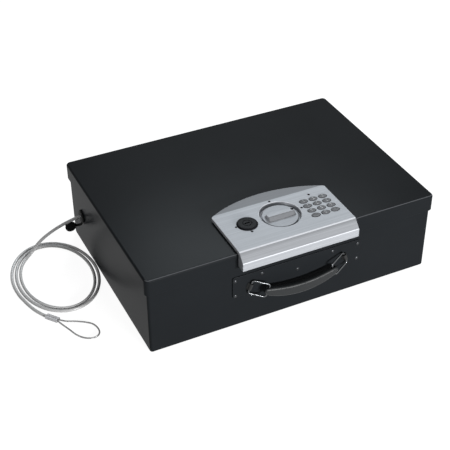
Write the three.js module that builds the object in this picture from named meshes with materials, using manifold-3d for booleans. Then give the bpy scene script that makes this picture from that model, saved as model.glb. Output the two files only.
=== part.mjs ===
// Portable car safe: a folded steel box with a hinged lid, a moulded lock console with a
// turn knob, a key lock and a keypad, a carrying handle and a tether cable with an eye.
// Millimetres, +Z up, -Y is the front. The origin is the centre of the underside.
import * as THREE from "three";
import { mergeVertices } from "three/addons/utils/BufferGeometryUtils.js";
import Module from "manifold-3d";

// Clearances
const seat = 0.3; // between pieces that rest on each other
const running = 0.35; // round pieces that turn or slide
const overrun = 2; // how far a cut runs past the surface that it opens

// Sheet steel box
const sheet = 1.5;
const lidWidth = 450;
const lidDepth = 317.6;
const boxHeight = 128.2;
const skirtHeight = 25.2;
const skirtGap = 1.7;
const lidCornerRadius = 7;
const lidBendRadius = 3;
const lidRestGap = 0.5;
const caseCornerRadius = 4;
const flangeWidth = 10;
const matThickness = 3;
const matInset = 1.5;

const lidHalfX = lidWidth / 2;
const lidHalfY = lidDepth / 2;
const lidUnder = boxHeight - sheet;
const skirtBottom = boxHeight - skirtHeight;
const caseHalfX = lidHalfX - sheet - skirtGap;
const caseHalfY = lidHalfY - sheet - skirtGap;
const caseTop = lidUnder - lidRestGap;

// Lid hinges, one near each back corner
const hingeLength = 60;
const hingeFromSide = 75;
const knuckleRadius = 3.5;
const knuckleGap = 0.4;
const knuckleCount = 3;
const hingePinRadius = 1.5;
const hingePinHead = 2.4;
const hingePinHeadLength = 1;
const leafThickness = 1.2;
const leafHeight = 22;
const leafCrank = 4;
const hingeBelowSkirt = 3.8;

const hingeFromCentre = lidHalfX - hingeFromSide;
const hingeY = lidHalfY + seat + knuckleRadius;
const hingeZ = skirtBottom - hingeBelowSkirt;

// Console: the silver moulding over the middle of the lid's front edge
const consoleWidth = 180.7;
const consoleRise = 5.8;
const consoleWall = 2.2;
const consoleOverhang = 2.2; // ridge, ahead of the lid's skirt
const chamferRun = 12.2;
const chamferDrop = 12.7;
const consoleFaceHeight = 12.8;
const consoleRearRadius = 166;
const consoleReach = 111.3; // behind the lid's front edge
const crescentDepth = 24.5;
const crescentDrop = 3;
const consoleBossRadius = 3.5;
const consoleBossInset = 9;

const consoleTop = boxHeight + consoleRise;
const consoleUnder = consoleTop - consoleWall;
const consoleHalf = consoleWidth / 2;
const consoleRearY = consoleReach - lidHalfY;
const crescentY = consoleRearY - crescentDepth;
const ridgeY = -(lidHalfY + consoleOverhang);
const footY = ridgeY - chamferRun;
const footZ = consoleTop - chamferDrop;
const consoleBottom = footZ - consoleFaceHeight;

// Turn knob in its dish
const knobFromFront = 50.5;
const dishRadius = 29.8;
const dishRimRadius = 1.2;
const dishWall = 1.8;
const dishDepth = 8.5;
const dishFloor = 1.5;
const knobGap = 4.1; // to the dish's wall
const knobBelowRim = 3;
const knobThickness = 5.2;
const knobEdge = 0.8;
const knobBarLength = 44;
const knobBarFoot = 17;
const knobBarTop = 8;
const knobBarHeight = 6;
const knobBarEdge = 1.2;
const hubRadius = 6;

const knobRadius = dishRadius - knobGap;
const knobY = knobFromFront - lidHalfY;
const dishFloorTop = consoleTop - dishDepth;
const knobFace = consoleTop - knobBelowRim;

// Lock works under the lid
const housingFromFront = 92.8;
const housingDepth = 22.4;
const housingWall = 1.5;
const housingFrontGap = 1; // behind the strike
const camRadius = 12;
const camThickness = 4.1;
const camWeb = 1.6;
const crankRadius = 6.4;
const crankPinRadius = 2;
const crankPinGap = 0.4;
const boltWidth = 30;
const boltThickness = 4;
const boltLead = 0.3; // ahead of the housing
const boltTail = 7; // behind the crank's slot
const boltLevel = 8; // above the housing's underside
const boltGap = 0.4;
const railWidth = 3;
const railLip = 2;
const railLipHeight = 1.6;
const railToBay = 11.1;
const strikeWidth = 36;
const strikeThickness = 1.5;
const strikeReach = 10.5;
const strikeGap = 1.5; // above the bolt
const strikeDrop = 16;
const solenoidWidth = 18;
const solenoidLength = 22;
const solenoidHeight = 17.5;
const plungerRadius = 3;
const plungerLength = 18;
const plungerTravel = 3;
const plungerGap = 0.4; // tip to cam

const housingBack = housingFromFront - lidHalfY;
const strikeBack = seat + sheet - caseHalfY;
const housingFront = strikeBack + strikeReach + housingFrontGap;
const boltFront = housingFront - boltLead;
const housingTop = lidUnder - seat;
const housingBottom = housingTop - housingDepth;
const housingFloor = housingBottom + housingWall;
const boltBottom = housingBottom + boltLevel;
const boltTop = boltBottom + boltThickness;
const camBottom = boltTop + boltGap;
const camTop = camBottom + camThickness;
const crankSlotY = knobY + crankRadius * Math.SQRT1_2;

// Key lock
const keyLockX = -52.3;
const keyLockFromFront = 49.3;
const bezelRadius = 14.8;
const bezelRise = 2.2;
const bezelRecess = 1;
const bezelGap = 0.5;
const barrelRadius = 9;
const barrelCollarRadius = 11;
const barrelCollarHeight = 1.4;
const barrelLength = 23;
const rotorRadius = 6;
const rotorTail = 1;
const keySlotWidth = 2.2;
const keySlotLength = 8;
const keySlotDepth = 18;
const keyCamLength = 16;
const keyCamWidth = 8;
const keyCamThickness = 1.7;

const keyLockY = keyLockFromFront - lidHalfY;

// Keypad
const keyColumns = 3;
const keyRows = 4;
const keypadX = 59.2;
const keypadFromFront = 44.4;
const keyPitchX = 15.5;
const keyPitchY = 12.05;
const keyWidth = 13.2;
const keyHeight = 9.2;
const keyRise = 0.8;
const keyEdge = 0.6;
const keyTravel = 0.8;
const keyFlange = 0.6;
const keyFlangeThickness = 1.3;
const keyStem = 3;
const keyStemGap = 0.2; // to the board, with the key pressed
const boardMargin = 1.2;
const boardThickness = 1.6;
const boardBelowLid = 0.5;
const ledX = 58.7;
const ledFromFront = 74.4;
const ledRadius = 1.6;
const ledRise = 0.9;

const keypadY = keypadFromFront - lidHalfY;
const ledY = ledFromFront - lidHalfY;
const boardTop = lidUnder - boardBelowLid;
const boardFront = housingFront + housingWall + running;
const boardBack = ledY + ledRadius + boardMargin;
const boardHalf = (keyColumns * keyPitchX) / 2 + boardMargin;

// Batteries: four AA cells side by side
const cellRadius = 7.25;
const cellLength = 49.2;
const cellTipRadius = 2.75;
const cellTipLength = 1.3;
const cellGap = 0.3;
const cellCount = 4;

const bayLeft = boltWidth / 2 + boltGap + railWidth + railToBay + housingWall;
const bayRight = bayLeft + cellCount * (2 * cellRadius + cellGap) + cellGap;
const housingHalf = bayRight + housingWall;
const bayFront = housingFront + housingWall;
const bayBack = bayFront + cellLength + cellTipLength + 2 * cellGap;
const bayWallHeight = 15;

// Carrying handle on the front wall
const handleX = 3;
const handlePlateHalf = 101;
const handleBelowSkirt = 15;
const handlePlateHeight = 35;
const handlePlateThickness = 1.5;
const handlePlateRadius = 3;
const rivetRadius = 2.7;
const rivetHeight = 1.2;
const rivetFromEnd = 4;
const rivetInner = 56;
const rivetInset = 6.2; // upper rivets, below the plate's top
const rivetMiddleDrop = 18;
const rivetLowerDrop = 32.2;
const wireRadius = 1.3;
const ringFromCentre = 75.4;
const ringDrop = 20.8; // below the plate's top
const ringTilt = 22.1; // degrees
const ringSwing = 19; // degrees, at rest
const ringLength = 26.3;
const ringWidth = 20.8;
const ringOut = 3.1; // base bar, ahead of the plate
const clipLength = 10;
const clipWidth = 9;
const clipWall = 1.2;
const gripHalf = 58.5;
const gripDrop = 28.5; // the grip's ends, below the plate's top
const gripSag = 10;
const gripOut = 11.1; // centre of the grip's ends, ahead of the plate
const gripBow = 3;
const gripThickness = 9;
const gripMiddleHeight = 17;
const gripEndHeight = 12.5;
const gripEdge = 2.8;
const gripSteps = 16;
const gripSlip = 0.5;
const gripPull = 5;
const gripPush = 3;

const handlePlateTop = skirtBottom - handleBelowSkirt;
const handlePlateBottom = handlePlateTop - handlePlateHeight;
const rivetOuter = handlePlateHalf - rivetFromEnd;
const rivetUpperZ = handlePlateTop - rivetInset;
const rivetMiddleZ = handlePlateTop - rivetMiddleDrop;
const rivetLowerZ = handlePlateTop - rivetLowerDrop;
const ringZ = handlePlateTop - ringDrop;
const gripEndZ = handlePlateTop - gripDrop;
const gripMiddleZ = gripEndZ - gripSag;
const caseFront = -caseHalfY;
const plateFront = caseFront - seat - handlePlateThickness;
const ringY = plateFront - ringOut;

// Tether cable
const cableRadius = 2.4;
const cableSides = 10;
const holeY = 108;
const holeZ = 60;
const grommetHole = 7.5;
const grommetFlange = 10.5;
const grommetThickness = 2.5;
const grommetInnerFlange = 9.2;
const grommetInnerThickness = 2;
const stopRadius = 4.5;
const stopLength = 12;
const stubLength = 12;
const coilCentre = [-63.65, 57];
const coilRadii = [50.45, 74.3];
const coilGrowth = [6.6, 6]; // a turn, across and along the safe
const coilStart = 130; // degrees
const coilDatum = 160; // degrees, where the radii are measured
const coilEnd = 912; // degrees
const coilStepsPerTurn = 24;
const coilSides = 6;
const coilLift = 0.1;
const ferruleLength = 20;
const ferruleWidth = 10;
const ferruleHeight = 5.2;
const eyeRadius = 1.25;
const eyeSides = 8;
const plugRadius = 8.5;
const plugThickness = 3.2;
const plugStem = 6.6;
const plugStemLength = 6;
const plugReach = 17; // out from the wall
const plugDrop = 5; // below the grommet
const plugBack = 4.5;
const strapWidth = 4;
const strapThickness = 1.6;

const wallX = -caseHalfX;

// Route of the cable's free stretch, from the grommet down to the start of the coil.
// All x on the routes and of the coil's centre are measured from the case's left wall.
const cableRoute = [
  [-3.4, 108, 60],
  [-11.2, 108.3, 59.2],
  [-18.2, 109, 57.2],
  [-28.2, 110.6, 53.2],
  [-39.2, 113.5, 47],
  [-49.2, 117.6, 39],
  [-59.2, 122, 29.5],
  [-67.7, 125.3, 20],
  [-74.2, 126.2, 12.2],
  [-80.3, 125, 6.4],
  [-84.5, 123.2, 4.2],
  [-88.6, 120.4, 2.9],
  [-92.05, 117.11, 2.5],
];

// Route of the coil's tail on the floor, from the last turn to the ferrule
const tailRoute = [
  [-124.2, 27],
  [-120.2, 10.5],
  [-114.8, -5],
  [-108, -17.9],
  [-105.1, -21.7],
];

// Outline of the eye, out of the ferrule and back into it
const eyeRoute = [
  [-91.2, -37, 2.7],
  [-89.4, -39.3, 2.5],
  [-81.9, -44.4, 1.7],
  [-69.7, -50.2, 1.35],
  [-58.2, -58, 1.35],
  [-50.9, -65.5, 1.35],
  [-47.7, -75.5, 1.35],
  [-48.6, -86, 1.35],
  [-54.2, -92, 1.35],
  [-62.7, -92.4, 1.35],
  [-71.8, -87, 1.35],
  [-79.2, -76.7, 1.35],
  [-84.9, -61.5, 1.5],
  [-89.8, -49.5, 1.9],
  [-92.7, -42.3, 2.4],
  [-93.9, -39.1, 2.7],
];

const wasm = await Module();
wasm.setup();
const mergeTolerance = 1e-4;

// A closed geometry as a solid for joins and cuts
function solid(geometry) {
  const bare = geometry.clone();
  bare.deleteAttribute("normal");
  bare.deleteAttribute("uv");
  const merged = mergeVertices(bare, mergeTolerance);
  return new wasm.Manifold(
    new wasm.Mesh({
      numProp: 3,
      vertProperties: new Float32Array(merged.attributes.position.array),
      triVerts: new Uint32Array(merged.index.array),
    }),
  );
}

// The geometry of a joined or cut solid
function geometryOf(body) {
  const mesh = body.getMesh();
  return new THREE.BufferGeometry()
    .setAttribute("position", new THREE.BufferAttribute(new Float32Array(mesh.vertProperties), 3))
    .setIndex(new THREE.BufferAttribute(new Uint32Array(mesh.triVerts), 1));
}

// Unit axes for profiles that are extruded along X or Y
const alongX = new THREE.Matrix4().makeBasis(
  new THREE.Vector3(0, 1, 0), new THREE.Vector3(0, 0, 1), new THREE.Vector3(1, 0, 0));
const alongY = new THREE.Matrix4().makeBasis(
  new THREE.Vector3(1, 0, 0), new THREE.Vector3(0, 0, 1), new THREE.Vector3(0, -1, 0));

function polygon(points) {
  return new THREE.Shape(points.map(([a, b]) => new THREE.Vector2(a, b)));
}

function roundedRectangle(x0, x1, y0, y1, radius) {
  const shape = new THREE.Shape();
  const quarter = Math.PI / 2;
  shape.moveTo(x0 + radius, y0);
  shape.absarc(x1 - radius, y0 + radius, radius, -quarter, 0, false);
  shape.absarc(x1 - radius, y1 - radius, radius, 0, quarter, false);
  shape.absarc(x0 + radius, y1 - radius, radius, quarter, Math.PI, false);
  shape.absarc(x0 + radius, y0 + radius, radius, Math.PI, Math.PI + quarter, false);
  return shape;
}

function ellipse(x, y, width, height) {
  const shape = new THREE.Shape();
  shape.absellipse(x, y, width / 2, height / 2, 0, 2 * Math.PI, false, 0);
  return shape;
}

// Extrusions of a shape between two levels along each axis
function riseZ(shape, z0, z1, curveSegments = 4) {
  const options = { depth: z1 - z0, bevelEnabled: false, curveSegments };
  return new THREE.ExtrudeGeometry(shape, options).translate(0, 0, z0);
}

function runX(shape, x0, x1, curveSegments = 4) {
  const options = { depth: x1 - x0, bevelEnabled: false, curveSegments };
  return new THREE.ExtrudeGeometry(shape, options).applyMatrix4(alongX).translate(x0, 0, 0);
}

function runY(shape, y0, y1, curveSegments = 4) {
  const options = { depth: y1 - y0, bevelEnabled: false, curveSegments };
  return new THREE.ExtrudeGeometry(shape, options).applyMatrix4(alongY).translate(0, y1, 0);
}

// An extrusion whose two ends are rounded by a bevel that stays inside the outline
function softRiseZ(shape, z0, z1, bevel, curveSegments, bevelSegments) {
  const options = {
    depth: z1 - z0 - 2 * bevel,
    bevelEnabled: true,
    bevelThickness: bevel,
    bevelSize: bevel,
    bevelOffset: -bevel,
    bevelSegments,
    curveSegments,
  };
  return new THREE.ExtrudeGeometry(shape, options).translate(0, 0, z0 + bevel);
}

function block(x0, x1, y0, y1, z0, z1) {
  return new THREE.BoxGeometry(x1 - x0, y1 - y0, z1 - z0)
    .translate((x0 + x1) / 2, (y0 + y1) / 2, (z0 + z1) / 2);
}

// A turned piece about the vertical axis through x, y; the profile holds [radius, z]
function turned(profile, x, y, segments) {
  const points = profile.map(([r, z]) => new THREE.Vector2(r, z));
  return new THREE.LatheGeometry(points, segments).rotateX(Math.PI / 2).translate(x, y, 0);
}

function cylinder(radius, z0, z1, x, y, segments) {
  return turned([[0, z0], [radius, z0], [radius, z1], [0, z1]], x, y, segments);
}

// A turned piece about a line along X; the profile holds [radius, x]
function turnedX(profile, y, z, segments) {
  const points = profile.map(([r, x]) => new THREE.Vector2(r, x));
  return new THREE.LatheGeometry(points, segments).rotateZ(-Math.PI / 2).translate(0, y, z);
}

function joined(...geometries) {
  return geometries.map(solid).reduce((sum, next) => sum.add(next));
}

function cut(body, ...geometries) {
  return geometries.map(solid).reduce((rest, next) => rest.subtract(next), body);
}

// The moving bodies as nested groups
const safe = new THREE.Group();
const lidGroup = new THREE.Group();
const knobGroup = new THREE.Group();
const boltGroup = new THREE.Group();
const keyLockGroup = new THREE.Group();
const plungerGroup = new THREE.Group();
const keypadGroup = new THREE.Group();
const handleGroup = new THREE.Group();
const cableGroup = new THREE.Group();
safe.add(lidGroup, handleGroup, cableGroup);
lidGroup.add(knobGroup, boltGroup, keyLockGroup, plungerGroup, keypadGroup);

function paint(color, roughness, metalness) {
  return new THREE.MeshStandardMaterial({ color, roughness, metalness });
}

const materials = {
  paintedSteel: paint(0x34383b, 0.45, 0.2),
  silverPlastic: paint(0xafb2b8, 0.4, 0.3),
  blackPlastic: paint(0x1b1d1f, 0.5, 0),
  keyPlastic: paint(0xd4d6da, 0.5, 0),
  gripPlastic: paint(0x32373a, 0.5, 0),
  bareSteel: paint(0xb4b6b8, 0.3, 0.9),
  cableSteel: paint(0x969696, 0.4, 0.6),
  rubber: paint(0x141414, 0.8, 0),
  foam: paint(0x1d1e20, 0.95, 0),
  board: paint(0x1f5a34, 0.6, 0),
  cell: paint(0x6e5a28, 0.4, 0.3),
  lens: paint(0x9c1f1c, 0.2, 0),
};

function addPiece(group, name, shape, material) {
  const geometry = shape.isBufferGeometry ? shape : geometryOf(shape);
  geometry.computeVertexNormals();
  const mesh = new THREE.Mesh(geometry, materials[material]);
  mesh.name = name;
  group.add(mesh);
  return mesh;
}

// The folded case, open at the top, with its inward flange
function addCase() {
  const inX = caseHalfX - sheet;
  const inY = caseHalfY - sheet;
  const cornerIn = caseCornerRadius - sheet;
  const outside = roundedRectangle(-caseHalfX, caseHalfX, -caseHalfY, caseHalfY, caseCornerRadius);
  const inside = roundedRectangle(-inX, inX, -inY, inY, cornerIn);
  const mouthX = caseHalfX - flangeWidth;
  const mouthY = caseHalfY - flangeWidth;
  const body = cut(
    joined(riseZ(outside, 0, caseTop)),
    riseZ(inside, sheet, caseTop - sheet),
    block(-mouthX, mouthX, -mouthY, mouthY, caseTop - 2 * sheet, caseTop + overrun),
    turnedX([[0, -caseHalfX - overrun], [grommetHole, -caseHalfX - overrun],
      [grommetHole, overrun - inX], [0, overrun - inX]], holeY, holeZ, 20),
  );
  addPiece(safe, "case_shell", body, "paintedSteel");
  const matX = inX - matInset;
  const matY = inY - matInset;
  const matFloor = sheet + seat;
  addPiece(safe, "floor_mat", block(-matX, matX, -matY, matY, matFloor, matFloor + matThickness), "foam");
}

// The angle inside the front wall that the bolt hooks under
function addStrike() {
  const top = boltTop + strikeGap + strikeThickness;
  const profile = polygon([
    [strikeBack, top - strikeDrop],
    [strikeBack + strikeThickness, top - strikeDrop],
    [strikeBack + strikeThickness, top - strikeThickness],
    [strikeBack + strikeReach, top - strikeThickness],
    [strikeBack + strikeReach, top],
    [strikeBack, top],
  ]);
  addPiece(safe, "strike_plate", runX(profile, -strikeWidth / 2, strikeWidth / 2), "bareSteel");
}

// The lid: a folded pan with rounded corners, pierced for the knob, the lock and the keys
function addLid() {
  const outside = roundedRectangle(-lidHalfX, lidHalfX, -lidHalfY, lidHalfY, lidCornerRadius);
  const inX = lidHalfX - sheet;
  const inY = lidHalfY - sheet;
  const inside = roundedRectangle(-inX, inX, -inY, inY, lidCornerRadius - sheet);
  const bendIn = lidBendRadius - sheet;
  const below = skirtBottom - 2 * lidBendRadius;
  const body = cut(
    joined(softRiseZ(outside, below, boxHeight, lidBendRadius, 4, 3)),
    softRiseZ(inside, below - overrun, lidUnder, bendIn, 4, 2),
    block(-lidWidth, lidWidth, -lidDepth, lidDepth, below - 2 * overrun, skirtBottom),
    cylinder(dishRadius + dishWall + bezelGap, lidUnder - overrun, boxHeight + overrun, 0, knobY, 36),
    cylinder(barrelRadius + bezelGap, lidUnder - overrun, boxHeight + overrun, keyLockX, keyLockY, 20),
    block(keypadX - boardHalf, keypadX + boardHalf, boardFront, boardBack,
      lidUnder - overrun, boxHeight + overrun),
  );
  addPiece(lidGroup, "lid_shell", body, "paintedSteel");
}

// One butt hinge: the lid's leaf, the case's cranked leaf and the pin through their knuckles
function addHinge(side, x) {
  const x0 = x - hingeLength / 2;
  const knuckle = hingeLength / knuckleCount;
  const leafY = hingeY - knuckleRadius;
  const leafEdge = leafY + leafThickness;
  const bore = hingePinRadius + running;
  const tube = (a, b) => turnedX([[bore, a], [knuckleRadius, a], [knuckleRadius, b], [bore, b],
    [bore, a]], hingeY, hingeZ, 20);
  const middle0 = x0 + knuckle;
  const middle1 = x0 + 2 * knuckle;
  const x1 = x0 + hingeLength;
  const boreCut = turnedX([[0, x0 - overrun], [bore, x0 - overrun], [bore, x1 + overrun],
    [0, x1 + overrun]], hingeY, hingeZ, 20);
  const outerWall = hingePinRadius + running;
  const lidLeaf = polygon([
    [leafY, hingeZ], [leafY + outerWall, hingeZ], [leafEdge, hingeZ + outerWall],
    [leafEdge, hingeZ + leafHeight], [leafY, hingeZ + leafHeight],
  ]);
  const gapRing = knuckleRadius + knuckleGap;
  const middleClear = runX(polygon([
    [hingeY - gapRing - overrun, hingeZ - gapRing], [hingeY + gapRing, hingeZ - gapRing],
    [hingeY + gapRing, hingeZ + gapRing], [hingeY - gapRing - overrun, hingeZ + gapRing],
  ]), middle0 - knuckleGap, middle1 + knuckleGap);
  const lidPiece = cut(
    joined(runX(lidLeaf, x0, x1), tube(x0, middle0 - knuckleGap), tube(middle1 + knuckleGap, x1)),
    boreCut, middleClear,
  );
  addPiece(lidGroup, `hinge_leaf_lid_${side}`, lidPiece, "paintedSteel");

  const wallY = caseHalfY + seat;
  const crankZ = hingeZ - leafCrank;
  const caseLeaf = polygon([
    [leafY, hingeZ], [leafY, crankZ + leafThickness], [wallY, crankZ + leafThickness],
    [wallY, hingeZ - leafHeight], [wallY + leafThickness, hingeZ - leafHeight],
    [wallY + leafThickness, crankZ], [leafEdge, crankZ], [leafEdge, hingeZ - outerWall],
    [leafY + outerWall, hingeZ],
  ]);
  const sideClear = (a, b) => block(a, b, leafY - overrun, hingeY + gapRing,
    crankZ + leafThickness, hingeZ + gapRing);
  const casePiece = cut(
    joined(runX(caseLeaf, x0, x1), tube(middle0, middle1)),
    boreCut, sideClear(x0 - overrun, middle0), sideClear(middle1, x1 + overrun),
  );
  addPiece(safe, `hinge_leaf_case_${side}`, casePiece, "paintedSteel");

  const pin = turnedX([
    [0, x0 - seat - hingePinHeadLength], [hingePinHead, x0 - seat - hingePinHeadLength],
    [hingePinHead, x0 - seat], [hingePinRadius, x0 - seat], [hingePinRadius, x1 + seat],
    [hingePinHead, x1 + seat], [hingePinHead, x1 + seat + hingePinHeadLength],
    [0, x1 + seat + hingePinHeadLength],
  ], hingeY, hingeZ, 16);
  addPiece(safe, `hinge_pin_${side}`, pin, "bareSteel");
}

// Centre of each key
function keyCentres() {
  const centres = [];
  for (let row = 0; row < keyRows; row += 1)
    for (let column = 0; column < keyColumns; column += 1)
      centres.push([
        keypadX + (column - (keyColumns - 1) / 2) * keyPitchX,
        keypadY - (row - (keyRows - 1) / 2) * keyPitchY,
      ]);
  return centres;
}

// The console moulding, hollow below, with the dish, the lock's recess and the key holes
function addConsole() {
  const rest = boxHeight + seat;
  const innerFront = -(lidHalfY + seat);
  const section = polygon([
    [footY, consoleBottom], [innerFront, consoleBottom], [innerFront, rest],
    [consoleRearY, rest], [consoleRearY, consoleTop], [ridgeY, consoleTop], [footY, footZ],
  ]);
  const plan = new THREE.Shape();
  const rearCentre = consoleRearY - consoleRearRadius;
  const halfAngle = Math.asin(consoleHalf / consoleRearRadius);
  plan.moveTo(-consoleHalf, footY - overrun);
  plan.lineTo(consoleHalf, footY - overrun);
  plan.absarc(0, rearCentre, consoleRearRadius, Math.PI / 2 - halfAngle, Math.PI / 2 + halfAngle, false);
  const whole = solid(runX(section, -consoleHalf - overrun, consoleHalf + overrun))
    .intersect(solid(riseZ(plan, consoleBottom - overrun, consoleTop + overrun, 24)));

  const slope = crescentDrop / (consoleRearY - crescentY);
  const reach = consoleRearY + overrun;
  const crescent = runX(polygon([
    [crescentY, consoleTop], [reach, consoleTop - slope * (reach - crescentY)],
    [reach, consoleTop + overrun], [crescentY, consoleTop + overrun],
  ]), -consoleWidth, consoleWidth);

  const hollowBack = crescentY - consoleWall;
  const hollow = runX(polygon([
    [footY + consoleWall, consoleBottom - overrun],
    [hollowBack, consoleBottom - overrun],
    [hollowBack, consoleUnder],
    [ridgeY + consoleWall / 2, consoleUnder],
    [footY + consoleWall, footZ - consoleWall / 2],
  ]), consoleWall - consoleHalf, consoleHalf - consoleWall);

  const bossX = consoleHalf - consoleBossInset;
  const bossFrontY = consoleBossInset - lidHalfY;
  const bossBackY = hollowBack - consoleBossInset;
  const bosses = [[-bossX, bossFrontY], [bossX, bossFrontY], [-bossX, bossBackY], [bossX, bossBackY]]
    .map(([x, y]) => cylinder(consoleBossRadius, rest, consoleUnder + consoleWall / 2, x, y, 12));

  const shell = bosses.map(solid).reduce((sum, boss) => sum.add(boss), cut(whole, crescent, hollow));
  const dishOutside = cylinder(dishRadius + dishWall, dishFloorTop - dishFloor,
    consoleUnder + consoleWall / 2, 0, knobY, 36);
  const rimStart = consoleTop - dishRimRadius;
  const dishInside = turned([
    [0, dishFloorTop], [dishRadius, dishFloorTop], [dishRadius, rimStart],
    [dishRadius + dishRimRadius / 4, rimStart + dishRimRadius * 0.75],
    [dishRadius + dishRimRadius, consoleTop],
    [dishRadius + dishRimRadius, consoleTop + overrun], [0, consoleTop + overrun],
  ], 0, knobY, 36);
  const keyHoles = keyCentres().map(([x, y]) =>
    riseZ(ellipse(x, y, keyWidth + 2 * seat, keyHeight + 2 * seat),
      consoleUnder - overrun / 2, consoleTop + overrun, 10));
  const body = cut(
    shell.add(solid(dishOutside)),
    dishInside,
    cylinder(hubRadius + running, dishFloorTop - dishFloor - overrun, consoleTop, 0, knobY, 20),
    cylinder(bezelRadius + bezelGap, consoleTop - bezelRecess, consoleTop + overrun,
      keyLockX, keyLockY, 28),
    cylinder(barrelRadius + seat, consoleUnder - overrun, consoleTop, keyLockX, keyLockY, 20),
    cylinder(ledRadius + seat, consoleUnder - overrun, consoleTop + overrun, ledX, ledY, 12),
    ...keyHoles,
  );
  addPiece(lidGroup, "console", body, "silverPlastic");
}

// The turn knob with its bar and hub, and the cam with its crank pin
function addKnob() {
  const under = knobFace - knobThickness;
  const hubEnd = camBottom + camWeb + seat;
  const barBase = knobFace - knobEdge;
  const barTop = knobFace + knobBarHeight;
  const shoulder = barTop - knobBarEdge;
  const disc = turned([
    [0, hubEnd], [hubRadius, hubEnd], [hubRadius, under], [knobRadius, under],
    [knobRadius, knobFace - knobEdge], [knobRadius - knobEdge, knobFace], [0, knobFace],
  ], 0, knobY, 36);
  const ends = runX(polygon([
    [knobY - knobBarFoot / 2, barBase], [knobY + knobBarFoot / 2, barBase],
    [knobY + knobBarTop / 2, shoulder], [knobY + knobBarTop / 2 - knobBarEdge, barTop],
    [knobY - knobBarTop / 2 + knobBarEdge, barTop], [knobY - knobBarTop / 2, shoulder],
  ]), -knobBarLength, knobBarLength);
  const bar = solid(ends).intersect(
    solid(softRiseZ(roundedRectangle(-knobBarLength / 2, knobBarLength / 2,
      knobY - knobBarFoot / 2, knobY + knobBarFoot / 2, knobBarFoot / 3),
    barBase - 2 * knobBarEdge, barTop, knobBarEdge, 4, 2)));
  addPiece(knobGroup, "knob", solid(disc).add(bar), "silverPlastic");

  const plate = turned([
    [0, camBottom], [camRadius, camBottom], [camRadius, camTop],
    [hubRadius + seat, camTop], [hubRadius + seat, camBottom + camWeb], [0, camBottom + camWeb],
  ], 0, knobY, 28);
  const crankX = -crankRadius * Math.SQRT1_2;
  const pin = cylinder(crankPinRadius, boltBottom, camBottom + camWeb / 2, crankX, crankSlotY, 14);
  const notch = plungerRadius + running;
  const stopNotch = block(camRadius - plungerTravel, camRadius + overrun, knobY - notch,
    knobY + notch, camBottom - overrun, camTop + overrun);
  addPiece(knobGroup, "knob_cam", cut(joined(plate, pin), stopNotch), "bareSteel");
}

// The bolt plate with its cross slot
function addBolt() {
  const slotHalf = crankPinRadius + crankPinGap;
  const slotFar = -crankRadius - slotHalf;
  const slotNear = slotHalf - crankRadius * Math.SQRT1_2;
  const plan = roundedRectangle(-boltWidth / 2, boltWidth / 2, boltFront, crankSlotY + boltTail,
    boltThickness / 2);
  const body = cut(
    joined(riseZ(plan, boltBottom, boltTop, 3)),
    block(slotFar, slotNear, crankSlotY - slotHalf, crankSlotY + slotHalf,
      boltBottom - overrun, boltTop + overrun),
  );
  addPiece(boltGroup, "latch_bolt", body, "bareSteel");
}

// The tray under the lid that holds the lock works and the batteries
function addHousing() {
  const inner = housingHalf - housingWall;
  const innerFront = housingFront + housingWall;
  const innerBack = housingBack - housingWall;
  const corner = 2 * housingWall;
  const railIn = boltWidth / 2 + boltGap;
  const railOut = railIn + railWidth;
  const railBack = crankSlotY + boltTail;
  const tray = cut(
    joined(riseZ(roundedRectangle(-housingHalf, housingHalf, housingFront, housingBack, corner),
      housingBottom, housingTop)),
    riseZ(roundedRectangle(-inner, inner, innerFront, innerBack, corner - housingWall),
      housingFloor, housingTop + overrun),
  );
  const rails = [-1, 1].flatMap((side) => {
    const [a, b] = side < 0 ? [-railOut, -railIn] : [railIn, railOut];
    const [c, d] = side < 0 ? [-railOut, railLip - railIn] : [railIn - railLip, railOut];
    return [
      block(a, b, housingFront + housingWall / 2, railBack, housingFloor - housingWall / 2,
        boltTop + boltGap + railLipHeight),
      block(c, d, housingFront + housingWall / 2, railBack, housingFloor - housingWall / 2,
        boltBottom - boltGap),
      block(c, d, housingFront + housingWall / 2, knobY - camRadius - running,
        boltTop + boltGap, boltTop + boltGap + railLipHeight),
    ];
  });
  const wallTop = housingFloor + bayWallHeight;
  const bayWalls = [
    block(bayLeft - housingWall, bayLeft, bayFront - housingWall / 2, bayBack + housingWall,
      housingFloor - housingWall / 2, wallTop),
    block(bayLeft - housingWall, bayRight + housingWall / 2, bayBack, bayBack + housingWall,
      housingFloor - housingWall / 2, wallTop),
  ];
  const body = cut(
    [...rails, ...bayWalls].map(solid).reduce((sum, next) => sum.add(next), tray),
    block(-railIn, railIn, housingFront - overrun, innerFront + overrun,
      boltBottom - boltGap, boltTop + boltGap),
    block(bayLeft + housingWall, bayRight - housingWall, bayFront + housingWall,
      bayBack - housingWall, housingBottom - overrun, housingFloor + overrun),
  );
  addPiece(lidGroup, "lock_housing", body, "blackPlastic");
  const doorGap = housingWall + seat;
  const door = roundedRectangle(bayLeft + doorGap, bayRight - doorGap, bayFront + doorGap,
    bayBack - doorGap, seat);
  addPiece(lidGroup, "battery_door", riseZ(door, housingBottom, housingFloor, 2), "blackPlastic");
}

// Four cells, nose to tail by turns
function addCells() {
  const z = housingFloor + seat + cellRadius;
  const length = cellLength + cellTipLength;
  for (let index = 0; index < cellCount; index += 1) {
    const x = bayLeft + cellGap + cellRadius + index * (2 * cellRadius + cellGap);
    const cell = turnedX([
      [0, 0], [cellRadius, 0], [cellRadius, cellLength], [cellTipRadius, cellLength],
      [cellTipRadius, length], [0, length],
    ], 0, 0, 20);
    const turn = index % 2 ? -1 : 1;
    const start = turn > 0 ? bayFront + cellGap : bayFront + cellGap + length;
    cell.rotateZ((turn * Math.PI) / 2).translate(x, start, z);
    addPiece(lidGroup, `battery_${index + 1}`, cell, "cell");
  }
}

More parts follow.
